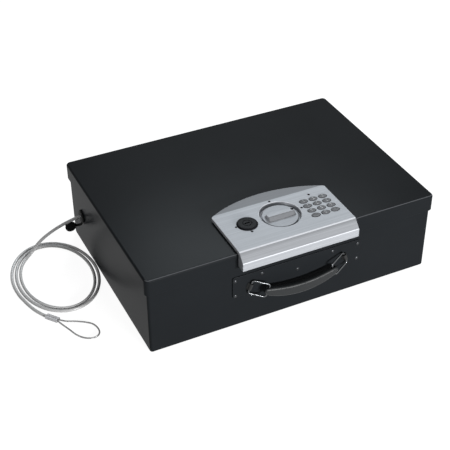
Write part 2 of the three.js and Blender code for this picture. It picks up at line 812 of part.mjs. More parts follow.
// The solenoid whose plunger blocks the cam
function addSolenoid() {
  const tip = knobY + camRadius + plungerGap;
  const bodyFront = tip + plungerTravel + running;
  const z = (camBottom + camTop) / 2;
  const bottom = housingFloor + seat;
  const bore = plungerRadius + running;
  const boreBack = tip + plungerLength + plungerTravel + running;
  const boreCut = turnedX([[0, bodyFront - overrun], [bore, bodyFront - overrun],
    [bore, boreBack], [0, boreBack]], 0, 0, 16).rotateZ(Math.PI / 2).translate(0, 0, z);
  const half = solenoidWidth / 2;
  const body = cut(
    joined(block(-half, half, bodyFront, bodyFront + solenoidLength, bottom, bottom + solenoidHeight)),
    boreCut,
  );
  addPiece(lidGroup, "solenoid_body", body, "bareSteel");
  const nose = plungerRadius / 3;
  const rod = turnedX([[0, 0], [plungerRadius - nose, 0], [plungerRadius, nose],
    [plungerRadius, plungerLength], [0, plungerLength]], 0, 0, 16)
    .rotateZ(Math.PI / 2).translate(0, tip, z);
  addPiece(plungerGroup, "solenoid_plunger", rod, "bareSteel");
}

// The key lock: barrel, round bezel, rotor with the key slot, and its cam
function addKeyLock() {
  const barrelTop = consoleTop - bezelRecess;
  const bore = rotorRadius + running;
  const collarTop = lidUnder - seat;
  const barrel = turned([
    [bore, barrelTop - barrelLength], [barrelRadius, barrelTop - barrelLength],
    [barrelRadius, collarTop - barrelCollarHeight], [barrelCollarRadius, collarTop - barrelCollarHeight],
    [barrelCollarRadius, collarTop], [barrelRadius, collarTop], [barrelRadius, barrelTop],
    [bore, barrelTop], [bore, barrelTop - barrelLength],
  ], keyLockX, keyLockY, 24);
  addPiece(lidGroup, "key_barrel", barrel, "bareSteel");

  const bezelTop = consoleTop + bezelRise;
  const edge = bezelRise / 2;
  const bezel = turned([
    [bore, barrelTop + seat], [bezelRadius, barrelTop + seat], [bezelRadius, bezelTop - 2 * edge],
    [bezelRadius - edge / 2, bezelTop - edge], [bezelRadius - 2 * edge, bezelTop - edge / 4],
    [bore, bezelTop], [bore, barrelTop + seat],
  ], keyLockX, keyLockY, 32);
  addPiece(lidGroup, "key_bezel", bezel, "blackPlastic");

  const rotorEnd = barrelTop - barrelLength - rotorTail;
  const rotor = cylinder(rotorRadius, rotorEnd, bezelTop, keyLockX, keyLockY, 24);
  const slot = block(keyLockX - keySlotLength / 2, keyLockX + keySlotLength / 2,
    keyLockY - keySlotWidth / 2, keyLockY + keySlotWidth / 2, bezelTop - keySlotDepth,
    bezelTop + overrun);
  addPiece(keyLockGroup, "key_rotor", cut(solid(rotor), slot), "blackPlastic");

  const lever = new THREE.Shape();
  const half = keyCamWidth / 2;
  lever.absarc(keyLockX, keyLockY, rotorRadius, -Math.PI / 2, Math.PI / 2, false);
  lever.absarc(keyLockX - keyCamLength + half, keyLockY, half, Math.PI / 2, 1.5 * Math.PI, false);
  addPiece(keyLockGroup, "key_cam", riseZ(lever, rotorEnd - seat - keyCamThickness, rotorEnd - seat, 6), "bareSteel");
}

// Circuit board, status light and the twelve keys
function addKeypad() {
  const boardBottom = boardTop - boardThickness;
  const inset = 2 * seat;
  addPiece(lidGroup, "keypad_board", block(keypadX - boardHalf + inset, keypadX + boardHalf - inset,
    boardFront, boardBack, boardBottom, boardTop), "board");
  const lensTop = consoleTop + ledRise;
  const led = turned([
    [0, boardTop + seat], [ledRadius, boardTop + seat], [ledRadius, lensTop - ledRadius / 2],
    [ledRadius / 2, lensTop], [0, lensTop],
  ], ledX, ledY, 12);
  addPiece(lidGroup, "status_led", led, "lens");

  const capTop = consoleTop + keyRise;
  const flangeTop = consoleUnder - seat;
  const flangeBottom = flangeTop - keyFlangeThickness;
  keyCentres().forEach(([x, y], index) => {
    const cap = softRiseZ(ellipse(x, y, keyWidth, keyHeight), flangeTop - keyEdge, capTop,
      keyEdge, 9, 1);
    const flange = riseZ(ellipse(x, y, keyWidth + 2 * keyFlange, keyHeight + 2 * keyFlange),
      flangeBottom, flangeTop, 9);
    const stem = block(x - keyStem / 2, x + keyStem / 2, y - keyStem / 2, y + keyStem / 2,
      boardTop + keyTravel + keyStemGap, flangeBottom + keyFlangeThickness / 2);
    addPiece(keypadGroup, `key_${index + 1}`, joined(cap, flange, stem), "keyPlastic");
  });
}

// A round bar between two points
function bar(from, to, radius, segments) {
  const a = new THREE.Vector3(...from);
  const b = new THREE.Vector3(...to);
  const direction = b.clone().sub(a);
  const turn = new THREE.Quaternion().setFromUnitVectors(
    new THREE.Vector3(0, 1, 0), direction.clone().normalize());
  const middle = a.clone().add(b).multiplyScalar(1 / 2);
  return new THREE.CylinderGeometry(radius, radius, direction.length(), segments)
    .applyQuaternion(turn).translate(middle.x, middle.y, middle.z);
}

// Directions of a ring: along its bars, and from its base bar towards the grip
function ringFrame(side) {
  const tilt = THREE.MathUtils.degToRad(ringTilt);
  const swing = THREE.MathUtils.degToRad(ringSwing);
  const along = new THREE.Vector3(-side * Math.sin(tilt), 0, Math.cos(tilt));
  const inward = new THREE.Vector3(-side * Math.cos(tilt), 0, -Math.sin(tilt));
  const arm = inward.clone().multiplyScalar(Math.cos(swing))
    .add(new THREE.Vector3(0, -Math.sin(swing), 0));
  const base = new THREE.Vector3(handleX + side * ringFromCentre, ringY, ringZ);
  return { along, inward, arm, base };
}

// The handle's back plate with its rivets, the two clips, the two wire rings and the grip
function addHandle() {
  const plateBack = caseFront - seat;
  const plan = roundedRectangle(handleX - handlePlateHalf, handleX + handlePlateHalf,
    handlePlateBottom, handlePlateTop, handlePlateRadius);
  const rivetPlaces = [
    [-rivetOuter, rivetUpperZ], [-rivetInner, rivetUpperZ], [rivetInner, rivetUpperZ],
    [rivetOuter, rivetUpperZ], [0, rivetMiddleZ], [-rivetOuter, rivetLowerZ],
    [rivetOuter, rivetLowerZ],
  ];
  const rivet = [
    [0, -handlePlateThickness / 2], [rivetRadius, -handlePlateThickness / 2], [rivetRadius, 0],
    [rivetRadius * 0.75, rivetHeight * 0.7], [0, rivetHeight],
  ];
  const rivets = rivetPlaces.map(([x, z]) => turned(rivet, 0, 0, 12)
    .rotateX(Math.PI / 2).translate(handleX + x, plateFront, z));
  addPiece(safe, "handle_plate", joined(runY(plan, plateFront, plateBack), ...rivets), "paintedSteel");

  for (const [name, side] of [["left", -1], ["right", 1]]) {
    const { along, arm, base } = ringFrame(side);
    const end = (sign, reach) => base.clone().addScaledVector(along, (sign * ringWidth) / 2)
      .addScaledVector(arm, reach).toArray();
    const corners = [end(-1, 0), end(1, 0), end(1, ringLength), end(-1, ringLength)];
    const bars = corners.map((corner, index) => bar(corner, corners[(index + 1) % 4], wireRadius, 8));
    const knees = corners.map((corner) => new THREE.SphereGeometry(wireRadius, 8, 6)
      .translate(...corner));
    addPiece(handleGroup, `handle_ring_${name}`, joined(...bars, ...knees), "bareSteel");

    const bore = wireRadius + running;
    const outer = bore + clipWall;
    const foot = ringOut - seat;
    const saddle = new THREE.Shape();
    saddle.moveTo(-clipWidth / 2, -foot);
    saddle.lineTo(clipWidth / 2, -foot);
    saddle.lineTo(outer, 0);
    saddle.absarc(0, 0, outer, 0, Math.PI, false);
    const hole = new THREE.Path();
    hole.absarc(0, 0, bore, 0, 2 * Math.PI, true);
    saddle.holes.push(hole);
    const clip = new THREE.ExtrudeGeometry(saddle,
      { depth: clipLength, bevelEnabled: false, curveSegments: 8 }).translate(0, 0, -clipLength / 2);
    const out = new THREE.Vector3(0, -1, 0);
    const across = out.clone().cross(along);
    clip.applyMatrix4(new THREE.Matrix4().makeBasis(across, out, along)).translate(...base.toArray());
    addPiece(safe, `handle_clip_${name}`, clip, "blackPlastic");
  }
  addPiece(handleGroup, "handle_grip", gripSolid(), "gripPlastic");
}

// The grip: a bowed bar with rounded edges and a slot in each end for its ring
function gripSolid() {
  const top = [];
  const bottom = [];
  for (let step = 0; step <= gripSteps; step += 1) {
    const share = (2 * step) / gripSteps - 1;
    const bow = 1 - share * share;
    const height = gripEndHeight + (gripMiddleHeight - gripEndHeight) * bow;
    const round = Math.sqrt(Math.max(0, 1 - Math.abs(share) ** 14));
    const middle = gripEndZ - (gripEndZ - gripMiddleZ) * bow;
    top.push([share * gripHalf, middle + (height / 2) * (0.3 + 0.7 * round)]);
    bottom.push([share * gripHalf, middle - (height / 2) * (0.3 + 0.7 * round)]);
  }
  const outline = polygon([...bottom, ...top.reverse()]);
  const bar = new THREE.ExtrudeGeometry(outline, {
    depth: gripThickness - 2 * gripEdge,
    bevelEnabled: true,
    bevelThickness: gripEdge,
    bevelSize: gripEdge,
    bevelOffset: -gripEdge,
    bevelSegments: 2,
  }).applyMatrix4(alongY);
  const places = bar.attributes.position;
  for (let index = 0; index < places.count; index += 1) {
    const share = places.getX(index) / gripHalf;
    places.setY(index, places.getY(index) - gripBow * (1 - share * share));
  }
  bar.translate(handleX, plateFront - gripOut + gripThickness / 2 - gripEdge, 0);

  const swing = THREE.MathUtils.degToRad(ringSwing);
  const reach = Math.cos(swing) * ringLength;
  const rise = Math.sin(swing) * ringLength;
  const pulled = Math.sqrt(ringLength ** 2 - (rise + gripPull) ** 2);
  const pushed = Math.sqrt(ringLength ** 2 - (rise - gripPush) ** 2);
  const slots = [-1, 1].map((side) => {
    const { inward, base } = ringFrame(side);
    const half = wireRadius + gripSlip;
    const slot = roundedRectangle(pulled - half, pushed + half, rise - half, rise + half, half - seat);
    const tall = ringWidth + 2 * overrun;
    const out = new THREE.Vector3(0, -1, 0);
    const depth = inward.clone().cross(out);
    return new THREE.ExtrudeGeometry(slot, { depth: tall, bevelEnabled: false, curveSegments: 3 })
      .translate(0, 0, -tall / 2)
      .applyMatrix4(new THREE.Matrix4().makeBasis(inward, out, depth))
      .translate(...base.toArray());
  });
  return cut(joined(bar), ...slots);
}

// The cable: grommet, inner stop, free stretch, coil, ferrule, eye and the spare plug
function addCable() {
  const outerFace = -caseHalfX - seat - grommetThickness;
  const bore = cableRadius + running;
  const waist = grommetHole - seat;
  const outside = -caseHalfX - seat;
  const inside = sheet + seat - caseHalfX;
  const innerFace = inside + grommetInnerThickness;
  const grommet = turnedX([
    [bore, outerFace], [grommetFlange - grommetThickness / 2, outerFace],
    [grommetFlange, outerFace + grommetThickness / 2], [grommetFlange, outside],
    [waist, outside], [waist, inside], [grommetInnerFlange, inside],
    [grommetInnerFlange, innerFace], [bore, innerFace], [bore, outerFace],
  ], holeY, holeZ, 24);
  addPiece(cableGroup, "cable_grommet", grommet, "rubber");

  const stopFace = innerFace + stubLength;
  const anchor = turnedX([
    [0, outerFace - seat], [cableRadius, outerFace - seat], [cableRadius, stopFace],
    [stopRadius, stopFace], [stopRadius, stopFace + stopLength], [0, stopFace + stopLength],
  ], holeY, holeZ, 14);
  addPiece(cableGroup, "cable_anchor", anchor, "cableSteel");

  const route = cableRoute.map(([x, y, z]) => new THREE.Vector3(wallX + x, y, z));
  const free = new THREE.ExtrudeGeometry(ringShape(cableRadius, cableSides),
    { steps: 32, bevelEnabled: false, extrudePath: new THREE.CatmullRomCurve3(route) });
  addPiece(cableGroup, "cable", free, "cableSteel");
  addPiece(cableGroup, "cable_coil", tube(coilPoints(), cableRadius, coilSides), "cableSteel");

  const [from, to] = tailRoute.slice(-2).map(([x, y]) => new THREE.Vector3(wallX + x, y, 0));
  const forward = to.clone().sub(from).normalize();
  const sideways = forward.clone().cross(new THREE.Vector3(0, 0, 1));
  const lobe = ferruleHeight / 2;
  const offset = ferruleWidth / 2 - lobe;
  const crimp = new THREE.Shape();
  const open = (2 * Math.PI) / 3;
  crimp.absarc(offset, 0, lobe, -open, open, false);
  crimp.absarc(-offset, 0, lobe, Math.PI - open, Math.PI + open, false);
  const up = new THREE.Vector3(0, 0, 1);
  const ferrule = new THREE.ExtrudeGeometry(crimp,
    { depth: ferruleLength, bevelEnabled: false, curveSegments: 8 })
    .applyMatrix4(new THREE.Matrix4().makeBasis(sideways, up, sideways.clone().cross(up)));
  const start = to.clone().addScaledVector(forward, seat);
  if (sideways.clone().cross(up).dot(forward) < 0) start.addScaledVector(forward, ferruleLength);
  ferrule.translate(start.x, start.y, lobe + coilLift);
  addPiece(cableGroup, "cable_ferrule", ferrule, "bareSteel");

  const eyePoints = eyeRoute.map(([x, y, z]) => new THREE.Vector3(wallX + x, y, z));
  const eye = new THREE.ExtrudeGeometry(ringShape(eyeRadius, eyeSides),
    { steps: 48, bevelEnabled: false, extrudePath: new THREE.CatmullRomCurve3(eyePoints) });
  addPiece(cableGroup, "cable_eye", eye, "bareSteel");
}

function ringShape(radius, sides) {
  return polygon(Array.from({ length: sides }, (_, index) => {
    const angle = (2 * Math.PI * index) / sides;
    return [radius * Math.cos(angle), radius * Math.sin(angle)];
  }));
}

// Centreline of the coil: a flat spiral of oval turns, a straight start and the tail
function coilPoints() {
  const z = cableRadius + coilLift;
  const place = (degrees) => {
    const turns = (degrees - coilDatum) / 360;
    const angle = THREE.MathUtils.degToRad(degrees);
    return new THREE.Vector3(
      wallX + coilCentre[0] + (coilRadii[0] + coilGrowth[0] * turns) * Math.cos(angle),
      coilCentre[1] + (coilRadii[1] + coilGrowth[1] * turns) * Math.sin(angle), z);
  };
  const step = 360 / coilStepsPerTurn;
  const points = [];
  for (let degrees = coilStart; degrees < coilEnd; degrees += step) points.push(place(degrees));
  const heading = place(coilStart - step).sub(points[0]).normalize();
  points.unshift(points[0].clone().addScaledVector(heading, 2 * cableRadius));
  const tail = tailRoute.map(([x, y]) => new THREE.Vector3(wallX + x, y, z));
  return [...points, ...tail];
}

// Least gap of a tube to itself, leaving out the stretch next to each point
function leastGap(points, radius) {
  const path = new THREE.CatmullRomCurve3(points).getSpacedPoints(points.length * 8);
  const spacing = path[0].distanceTo(path[1]);
  const skip = Math.ceil((6 * radius) / spacing);
  let least = Infinity;
  for (let a = 0; a < path.length; a += 1)
    for (let b = a + skip; b < path.length; b += 1)
      least = Math.min(least, path[a].distanceTo(path[b]) - 2 * radius);
  return least;
}

// A closed tube through points on a flat floor, with one ring of vertices at each point
function tube(points, radius, sides) {
  const vertices = [];
  const faces = [];
  const up = new THREE.Vector3(0, 0, 1);
  const last = points.length - 1;
  points.forEach((point, index) => {
    const ahead = points[Math.min(index + 1, last)];
    const behind = points[Math.max(index - 1, 0)];
    const across = ahead.clone().sub(behind).normalize().cross(up);
    for (let side = 0; side < sides; side += 1) {
      const angle = (2 * Math.PI * (side + 1 / 2)) / sides;
      const vertex = point.clone().addScaledVector(across, radius * Math.cos(angle))
        .addScaledVector(up, radius * Math.sin(angle));
      vertices.push(...vertex.toArray());
    }
  });
  for (let ring = 0; ring < last; ring += 1)
    for (let side = 0; side < sides; side += 1) {
      const a = ring * sides + side;
      const b = ring * sides + ((side + 1) % sides);
      faces.push(a, a + sides, b, b, a + sides, b + sides);
    }
  for (let side = 1; side < sides - 1; side += 1) {
    faces.push(0, side, side + 1);
    faces.push(last * sides, last * sides + side + 1, last * sides + side);
  }
  return new THREE.BufferGeometry()
    .setAttribute("position", new THREE.BufferAttribute(new Float32Array(vertices), 3))
    .setIndex(faces);
}

// The spare rubber plug that hangs from the grommet on its strap
function addHolePlug() {
  const flange = -caseHalfX - seat - grommetThickness / 2;
  const top = holeZ - grommetFlange - seat;
  const headX = flange - plugReach;
  const headZ = top - plugDrop;
  const rim = plugThickness / 3;
  const head = turned([
    [0, -plugStemLength], [plugStem, -plugStemLength], [plugStem, 0], [plugRadius, 0],
    [plugRadius, plugThickness - rim], [plugRadius - rim, plugThickness], [0, plugThickness],
  ], 0, 0, 24).rotateX(Math.PI / 2).translate(headX, holeY + plugBack, headZ);
  const strapEnd = new THREE.Vector3(headX + plugRadius - strapThickness,
    holeY + plugBack - plugThickness / 2, headZ);
  const strapStart = new THREE.Vector3(flange, holeY, top);
  const below = new THREE.Vector3(flange, holeY, headZ);
  const beside = new THREE.Vector3((flange + strapEnd.x) / 2, strapEnd.y, headZ);
  const path = new THREE.CubicBezierCurve3(strapStart, below, beside, strapEnd);
  const section = polygon([
    [-strapWidth / 2, -strapThickness / 2], [strapWidth / 2, -strapThickness / 2],
    [strapWidth / 2, strapThickness / 2], [-strapWidth / 2, strapThickness / 2],
  ]);
  const strap = new THREE.ExtrudeGeometry(section,
    { steps: 10, bevelEnabled: false, extrudePath: path });
  addPiece(cableGroup, "hole_plug", joined(head, strap), "rubber");
}

addCase();
addStrike();
addHinge("left", -hingeFromCentre);
addHinge("right", hingeFromCentre);
addLid();
addConsole();
addKnob();
addBolt();
addHousing();
addCells();
addSolenoid();
addKeyLock();
addKeypad();
addHandle();
addCable();
addHolePlug();
console.log(`least gap of the coil to itself ${leastGap(coilPoints(), cableRadius).toFixed(2)} mm`);

export default safe;
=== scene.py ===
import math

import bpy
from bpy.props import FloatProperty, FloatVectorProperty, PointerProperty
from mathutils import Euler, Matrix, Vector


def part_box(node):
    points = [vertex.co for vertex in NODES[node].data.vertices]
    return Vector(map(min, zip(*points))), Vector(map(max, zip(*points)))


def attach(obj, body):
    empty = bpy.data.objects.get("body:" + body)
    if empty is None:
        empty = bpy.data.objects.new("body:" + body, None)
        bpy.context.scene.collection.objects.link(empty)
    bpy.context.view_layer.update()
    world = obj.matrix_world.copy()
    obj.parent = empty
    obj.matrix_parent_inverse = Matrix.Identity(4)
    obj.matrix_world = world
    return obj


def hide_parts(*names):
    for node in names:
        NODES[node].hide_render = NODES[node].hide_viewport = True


bl_info = {
    "name": "Portable car safe",
    "version": (1, 0, 0),
    "blender": (4, 5, 0),
    "location": "View3D > Sidebar > Car Safe",
    "description": "Models and finishes a portable car safe around its packed frame",
    "category": "Object",
}

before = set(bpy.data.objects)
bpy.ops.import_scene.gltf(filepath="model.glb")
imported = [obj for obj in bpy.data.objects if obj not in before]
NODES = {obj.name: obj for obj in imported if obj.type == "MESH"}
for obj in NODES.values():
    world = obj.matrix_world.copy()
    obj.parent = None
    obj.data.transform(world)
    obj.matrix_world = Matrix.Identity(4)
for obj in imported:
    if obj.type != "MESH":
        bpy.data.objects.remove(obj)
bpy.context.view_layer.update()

MM = 0.001


# Places read from the frame

def low(node):
    return Vector(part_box(node)[0])


def high(node):
    return Vector(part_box(node)[1])


def middle(node):
    return (low(node) + high(node)) / 2


LID_LOW = low("lid_shell")
LID_HIGH = high("lid_shell")
CASE_LOW = low("case_shell")
CASE_HIGH = high("case_shell")
CONSOLE_LOW = low("console")
CONSOLE_HIGH = high("console")
KNOB = middle("knob")
KEY_LOCK = middle("key_bezel")
PLATE_LOW = low("handle_plate")
PLATE_HIGH = high("handle_plate")
GRIP_HIGH = high("handle_grip")
HANDLE_X = (PLATE_LOW.x + PLATE_HIGH.x) / 2
GROMMET = middle("cable_grommet")


# Sizes and colours that a user would change

def length(name, millimetres, description):
    return FloatProperty(
        name=name, default=millimetres * MM, unit="LENGTH", precision=5, description=description)


def colour(name, value, description):
    return FloatVectorProperty(
        name=name, default=value, size=3, subtype="COLOR", min=0, max=1, description=description)


class SafeSheetSizes(bpy.types.PropertyGroup):
    sheet: length("Sheet", 1.5, "Thickness of the steel sheet")
    lid_corner: length("Lid corner", 7, "Radius of the lid's upright corners")
    lid_bend: length("Lid bend", 3, "Radius of the bend round the lid's top")
    case_corner: length("Case corner", 4, "Radius of the case's upright corners")
    flange: length("Flange", 10, "Width of the inward flange round the case's mouth")
    paint: colour("Paint", (0.0138, 0.0156, 0.0176), "Colour of the paint on the lid and the case")


class SafeConsoleSizes(bpy.types.PropertyGroup):
    wall: length("Wall", 2.2, "Wall of the console's moulding")
    chamfer_run: length("Chamfer run", 12.2, "Depth of the sloped front")
    chamfer_drop: length("Chamfer drop", 12.7, "Height of the sloped front")
    rear_radius: length("Rear radius", 166, "Radius of the console's rear edge")
    crescent: length("Crescent", 24.5, "Depth of the sloped crescent at the rear")
    crescent_drop: length("Crescent drop", 3, "How far the crescent slopes down")
    dish_radius: length("Dish radius", 29.8, "Radius of the dish round the knob")
    dish_depth: length("Dish depth", 8.5, "Depth of the dish")
    key_gap: length("Key gap", 0.6, "Gap round each key")
    silver: colour("Silver", (0.37, 0.385, 0.41), "Colour of the console")
    keys: colour("Keys", (0.16, 0.164, 0.175), "Colour of the keys")


class SafeHandleSizes(bpy.types.PropertyGroup):
    wire: length("Wire", 1.3, "Radius of the rings' wire")
    bend: length("Bend", 3.4, "Radius of the rings' corners")
    tilt: FloatProperty(
        name="Tilt", default=math.radians(22.1), subtype="ANGLE", description="Lean of the rings")
    swing: FloatProperty(
        name="Swing", default=math.radians(19), subtype="ANGLE",
        description="Swing of the rings at rest")
    ring_length: length("Ring length", 26.3, "From the base bar to the far bar")
    ring_width: length("Ring width", 20.8, "Length of the bars")
    ring_from_centre: length("Ring from centre", 75.4, "Base bar to the handle's centre")
    ring_height: length("Ring height", 67.2, "Height of the base bar's middle")
    ring_out: length("Ring out", 3.1, "Base bar ahead of the plate")
    grip: colour("Grip", (0.010, 0.0115, 0.0125), "Colour of the grip")


class SafeCableSizes(bpy.types.PropertyGroup):
    radius: length("Radius", 2.4, "Radius of the coated cable")
    eye_radius: length("Eye radius", 1.25, "Radius of the bare wire of the eye")
    growth_across: length("Growth across", 6.6, "How much wider each turn is across the safe")
    growth_along: length("Growth along", 6, "How much wider each turn is along the safe")
    coat: colour("Coat", (0.48, 0.48, 0.48), "Colour of the cable")


GROUPS = {
    "safe_sheet": SafeSheetSizes,
    "safe_console": SafeConsoleSizes,
    "safe_handle": SafeHandleSizes,
    "safe_cable": SafeCableSizes,
}


# Modelling by hand: selection, primitives and modifiers

def mode(name):
    bpy.ops.object.mode_set(mode=name)


def select_none():
    bpy.ops.object.select_all(action="DESELECT")


def select_mesh():
    bpy.ops.mesh.select_all(action="SELECT")


def use(obj):
    if bpy.context.mode != "OBJECT":
        mode("OBJECT")
    select_none()
    obj.select_set(True)
    bpy.context.view_layer.objects.active = obj


def named(name):
    """Names the active object and its mesh."""
    obj = bpy.context.active_object
    obj.name = name
    obj.data.name = name
    return obj


def settled(name):
    """Names the active object and applies its place, turn and scale to its mesh."""
    bpy.ops.object.transform_apply(location=True, rotation=True, scale=True)
    return named(name)


def at(spot, height):
    """The point above or below a place, at a height."""
    return Vector((spot.x, spot.y, height))


def block(name, lowest, highest):
    lowest = Vector(lowest)
    highest = Vector(highest)
    select_none()
    bpy.ops.mesh.primitive_cube_add(size=1, location=(lowest + highest) / 2)
    bpy.context.active_object.scale = highest - lowest
    return settled(name)


AXES = {
    "X": (0, math.pi / 2, 0),
    "Z": (0, 0, 0),
}


def round_bar(name, radius, start, end, axis="Z", vertices=64):
    start = Vector(start)
    end = Vector(end)
    select_none()
    bpy.ops.mesh.primitive_cylinder_add(
        vertices=vertices, radius=radius, depth=(end - start).length, location=(start + end) / 2,
        rotation=AXES[axis])
    return settled(name)


def start_chain(name, points):
    """A chain of vertices through the points, extruded one after the other."""
    select_none()
    bpy.ops.mesh.primitive_plane_add(size=MM, location=(0, 0, 0))
    mode("EDIT")
    bpy.ops.mesh.select_mode(type="VERT")
    select_mesh()
    bpy.ops.mesh.merge(type="CENTER")
    bpy.ops.transform.translate(value=Vector(points[0]))
    for before, after in zip(points, points[1:]):
        step = Vector(after) - Vector(before)
        bpy.ops.mesh.extrude_region_move(TRANSFORM_OT_translate={"value": step})
    return named(name)


def face_outwards():
    """Turns all faces of the mesh being edited outwards, and leaves edit mode."""
    select_mesh()
    bpy.ops.mesh.normals_make_consistent(inside=False)
    mode("OBJECT")


def prism(name, points, depth):
    """A flat outline filled and extruded by the vector depth."""
    obj = start_chain(name, points)
    select_mesh()
    bpy.ops.mesh.edge_face_add()
    select_mesh()
    bpy.ops.mesh.extrude_region_move(TRANSFORM_OT_translate={"value": Vector(depth)})
    face_outwards()
    return obj


SPIN_TURNS = {
    "Z": 0,
    "Y": -math.pi / 2,
    "-Y": math.pi / 2,
}


def in_mm(*points):
    return [tuple(value * MM for value in point) for point in points]


def turned(name, profile, place, axis="Z", steps=64):
    """A profile of (radius, height) pairs spun about an axis through place."""
    obj = start_chain(name, [(r, 0, h) for r, h in profile])
    select_mesh()
    bpy.ops.mesh.spin(steps=steps, angle=2 * math.pi, center=(0, 0, 0), axis=(0, 0, 1))
    select_mesh()
    bpy.ops.mesh.remove_doubles(threshold=0.01 * MM)
    face_outwards()
    turn = Matrix.Rotation(SPIN_TURNS[axis], 4, "X")
    obj.data.transform(Matrix.Translation(Vector(place)) @ turn)
    return obj


def apply_modifiers(obj):
    use(obj)
    for modifier in list(obj.modifiers):
        bpy.ops.object.modifier_apply(modifier=modifier.name)


def clean(obj):
    """Merges doubles and dissolves the needless edges that a cut leaves on flat faces."""
    use(obj)
    mode("EDIT")
    select_mesh()
    bpy.ops.mesh.remove_doubles(threshold=0.01 * MM)
    bpy.ops.mesh.dissolve_limited(angle_limit=math.radians(0.5))
    mode("OBJECT")


def bevel(obj, width, segments, angle):
    """Rounds the edges that are sharper than the angle, in degrees."""
    clean(obj)
    modifier = obj.modifiers.new("bevel", "BEVEL")
    modifier.width = width
    modifier.segments = segments
    modifier.limit_method = "ANGLE"
    modifier.angle_limit = math.radians(angle)
    modifier.use_clamp_overlap = False
    apply_modifiers(obj)


def boolean(obj, tool, operation="DIFFERENCE"):
    """Cuts, joins or intersects obj with the tool, and removes the tool."""
    modifier = obj.modifiers.new("boolean", "BOOLEAN")
    modifier.operation = operation
    modifier.solver = "EXACT"
    modifier.object = tool
    apply_modifiers(obj)
    mesh = tool.data
    bpy.data.objects.remove(tool)
    bpy.data.meshes.remove(mesh)


def drill(obj, spot, radius, bottom, top, vertices=64):
    """Cuts an upright round hole at a place."""
    boolean(obj, round_bar("drill", radius, at(spot, bottom), at(spot, top), vertices=vertices))


def pick(obj, kind, items, test):
    """Selects the vertices, edges or faces that pass the test, and leaves obj in edit mode."""
    use(obj)
    mode("EDIT")
    bpy.ops.mesh.select_mode(type=kind)
    bpy.ops.mesh.select_all(action="DESELECT")
    mode("OBJECT")
    for item in getattr(obj.data, items):
        item.select = test(item)
    mode("EDIT")


def pick_edges(obj, test):
    """Selects the edges whose two ends pass the test."""
    pick(obj, "EDGE", "edges", lambda edge: test(*(obj.data.vertices[end].co for end in edge.vertices)))


def pick_top(obj):
    """Selects the faces that face up."""
    pick(obj, "FACE", "polygons", lambda face: face.normal.z > 0.99)


def round_edges(obj, test, radius, segments):
    """Rounds the edges whose two ends pass the test."""
    pick_edges(obj, test)
    bpy.ops.mesh.bevel(offset=radius, segments=segments, affect="EDGES")
    mode("OBJECT")


def bevel_upright(obj, radius, segments):
    """Rounds the upright corner edges of a block."""
    round_edges(obj, lambda a, b: abs(a.z - b.z) > radius, radius, segments)


def bevel_level(obj, level, radius, segments):
    """Rounds the edge loop that lies at one height, such as a block's top."""
    round_edges(obj, lambda a, b: max(abs(a.z - level), abs(b.z - level)) < 0.01 * MM, radius, segments)


def join(name, pieces):
    use(pieces[0])
    for piece in pieces[1:]:
        piece.select_set(True)
    bpy.ops.object.join()
    return named(name)


def painted(obj, finish):
    obj.data.materials.clear()
    obj.data.materials.append(MATERIALS[finish])


def finished(obj, body, finish, *replaced, slot=None, angle=40):
    """Smooths a piece, gives it its finish and sets it on its body; the slot argument is not used."""
    use(obj)
    bpy.ops.object.shade_smooth_by_angle(angle=math.radians(angle))
    modifier = obj.modifiers.new("weighted", "WEIGHTED_NORMAL")
    modifier.keep_sharp = True
    apply_modifiers(obj)
    painted(obj, finish)
    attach(obj, body)
    if replaced:
        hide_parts(*replaced)
    return obj


# Shader maths as expressions

MATERIALS = {}


class Wire:
    """An output socket that can be added, multiplied and so on, each adding a Math node."""

    def __init__(self, nodes, socket):
        self.nodes = nodes
        self.socket = socket

    def math(self, operation, a, b):
        return self.nodes.node("ShaderNodeMath", {"operation": operation}, {0: a, 1: b})

    def __add__(self, other):
        return self.math("ADD", self, other)

    __radd__ = __add__

    def __mul__(self, other):
        return self.math("MULTIPLY", self, other)

    __rmul__ = __mul__

    def __sub__(self, other):
        return self.math("SUBTRACT", self, other)

    def __rsub__(self, other):
        return self.math("SUBTRACT", other, self)


class Nodes:
    """A node tree with its one shader."""

    def __init__(self, tree, shader):
        self.tree = tree
        self.shader = tree.nodes[shader]

    def set(self, values):
        for name, value in values.items():
            self.shader.inputs[name].default_value = value

    def feed(self, name, value):
        self.tree.links.new(value.socket, self.shader.inputs[name])

    def node(self, kind, settings=None, values=None, output=0):
        made = self.tree.nodes.new(kind)
        for key, value in (settings or {}).items():
            setattr(made, key, value)
        for key, value in (values or {}).items():
            if isinstance(value, Wire):
                self.tree.links.new(value.socket, made.inputs[key])
            else:
                made.inputs[key].default_value = value
        return Wire(self, made.outputs[output])

    def seen(self):
        """1 for rays from the camera, from a mirror-like surface or through glass, and 0 for others."""
        seen = self.node("ShaderNodeLightPath", output="Is Camera Ray")
        for kind in ("Is Glossy Ray", "Is Transmission Ray"):
            seen = seen.math("MAXIMUM", seen, self.node("ShaderNodeLightPath", output=kind))
        return seen


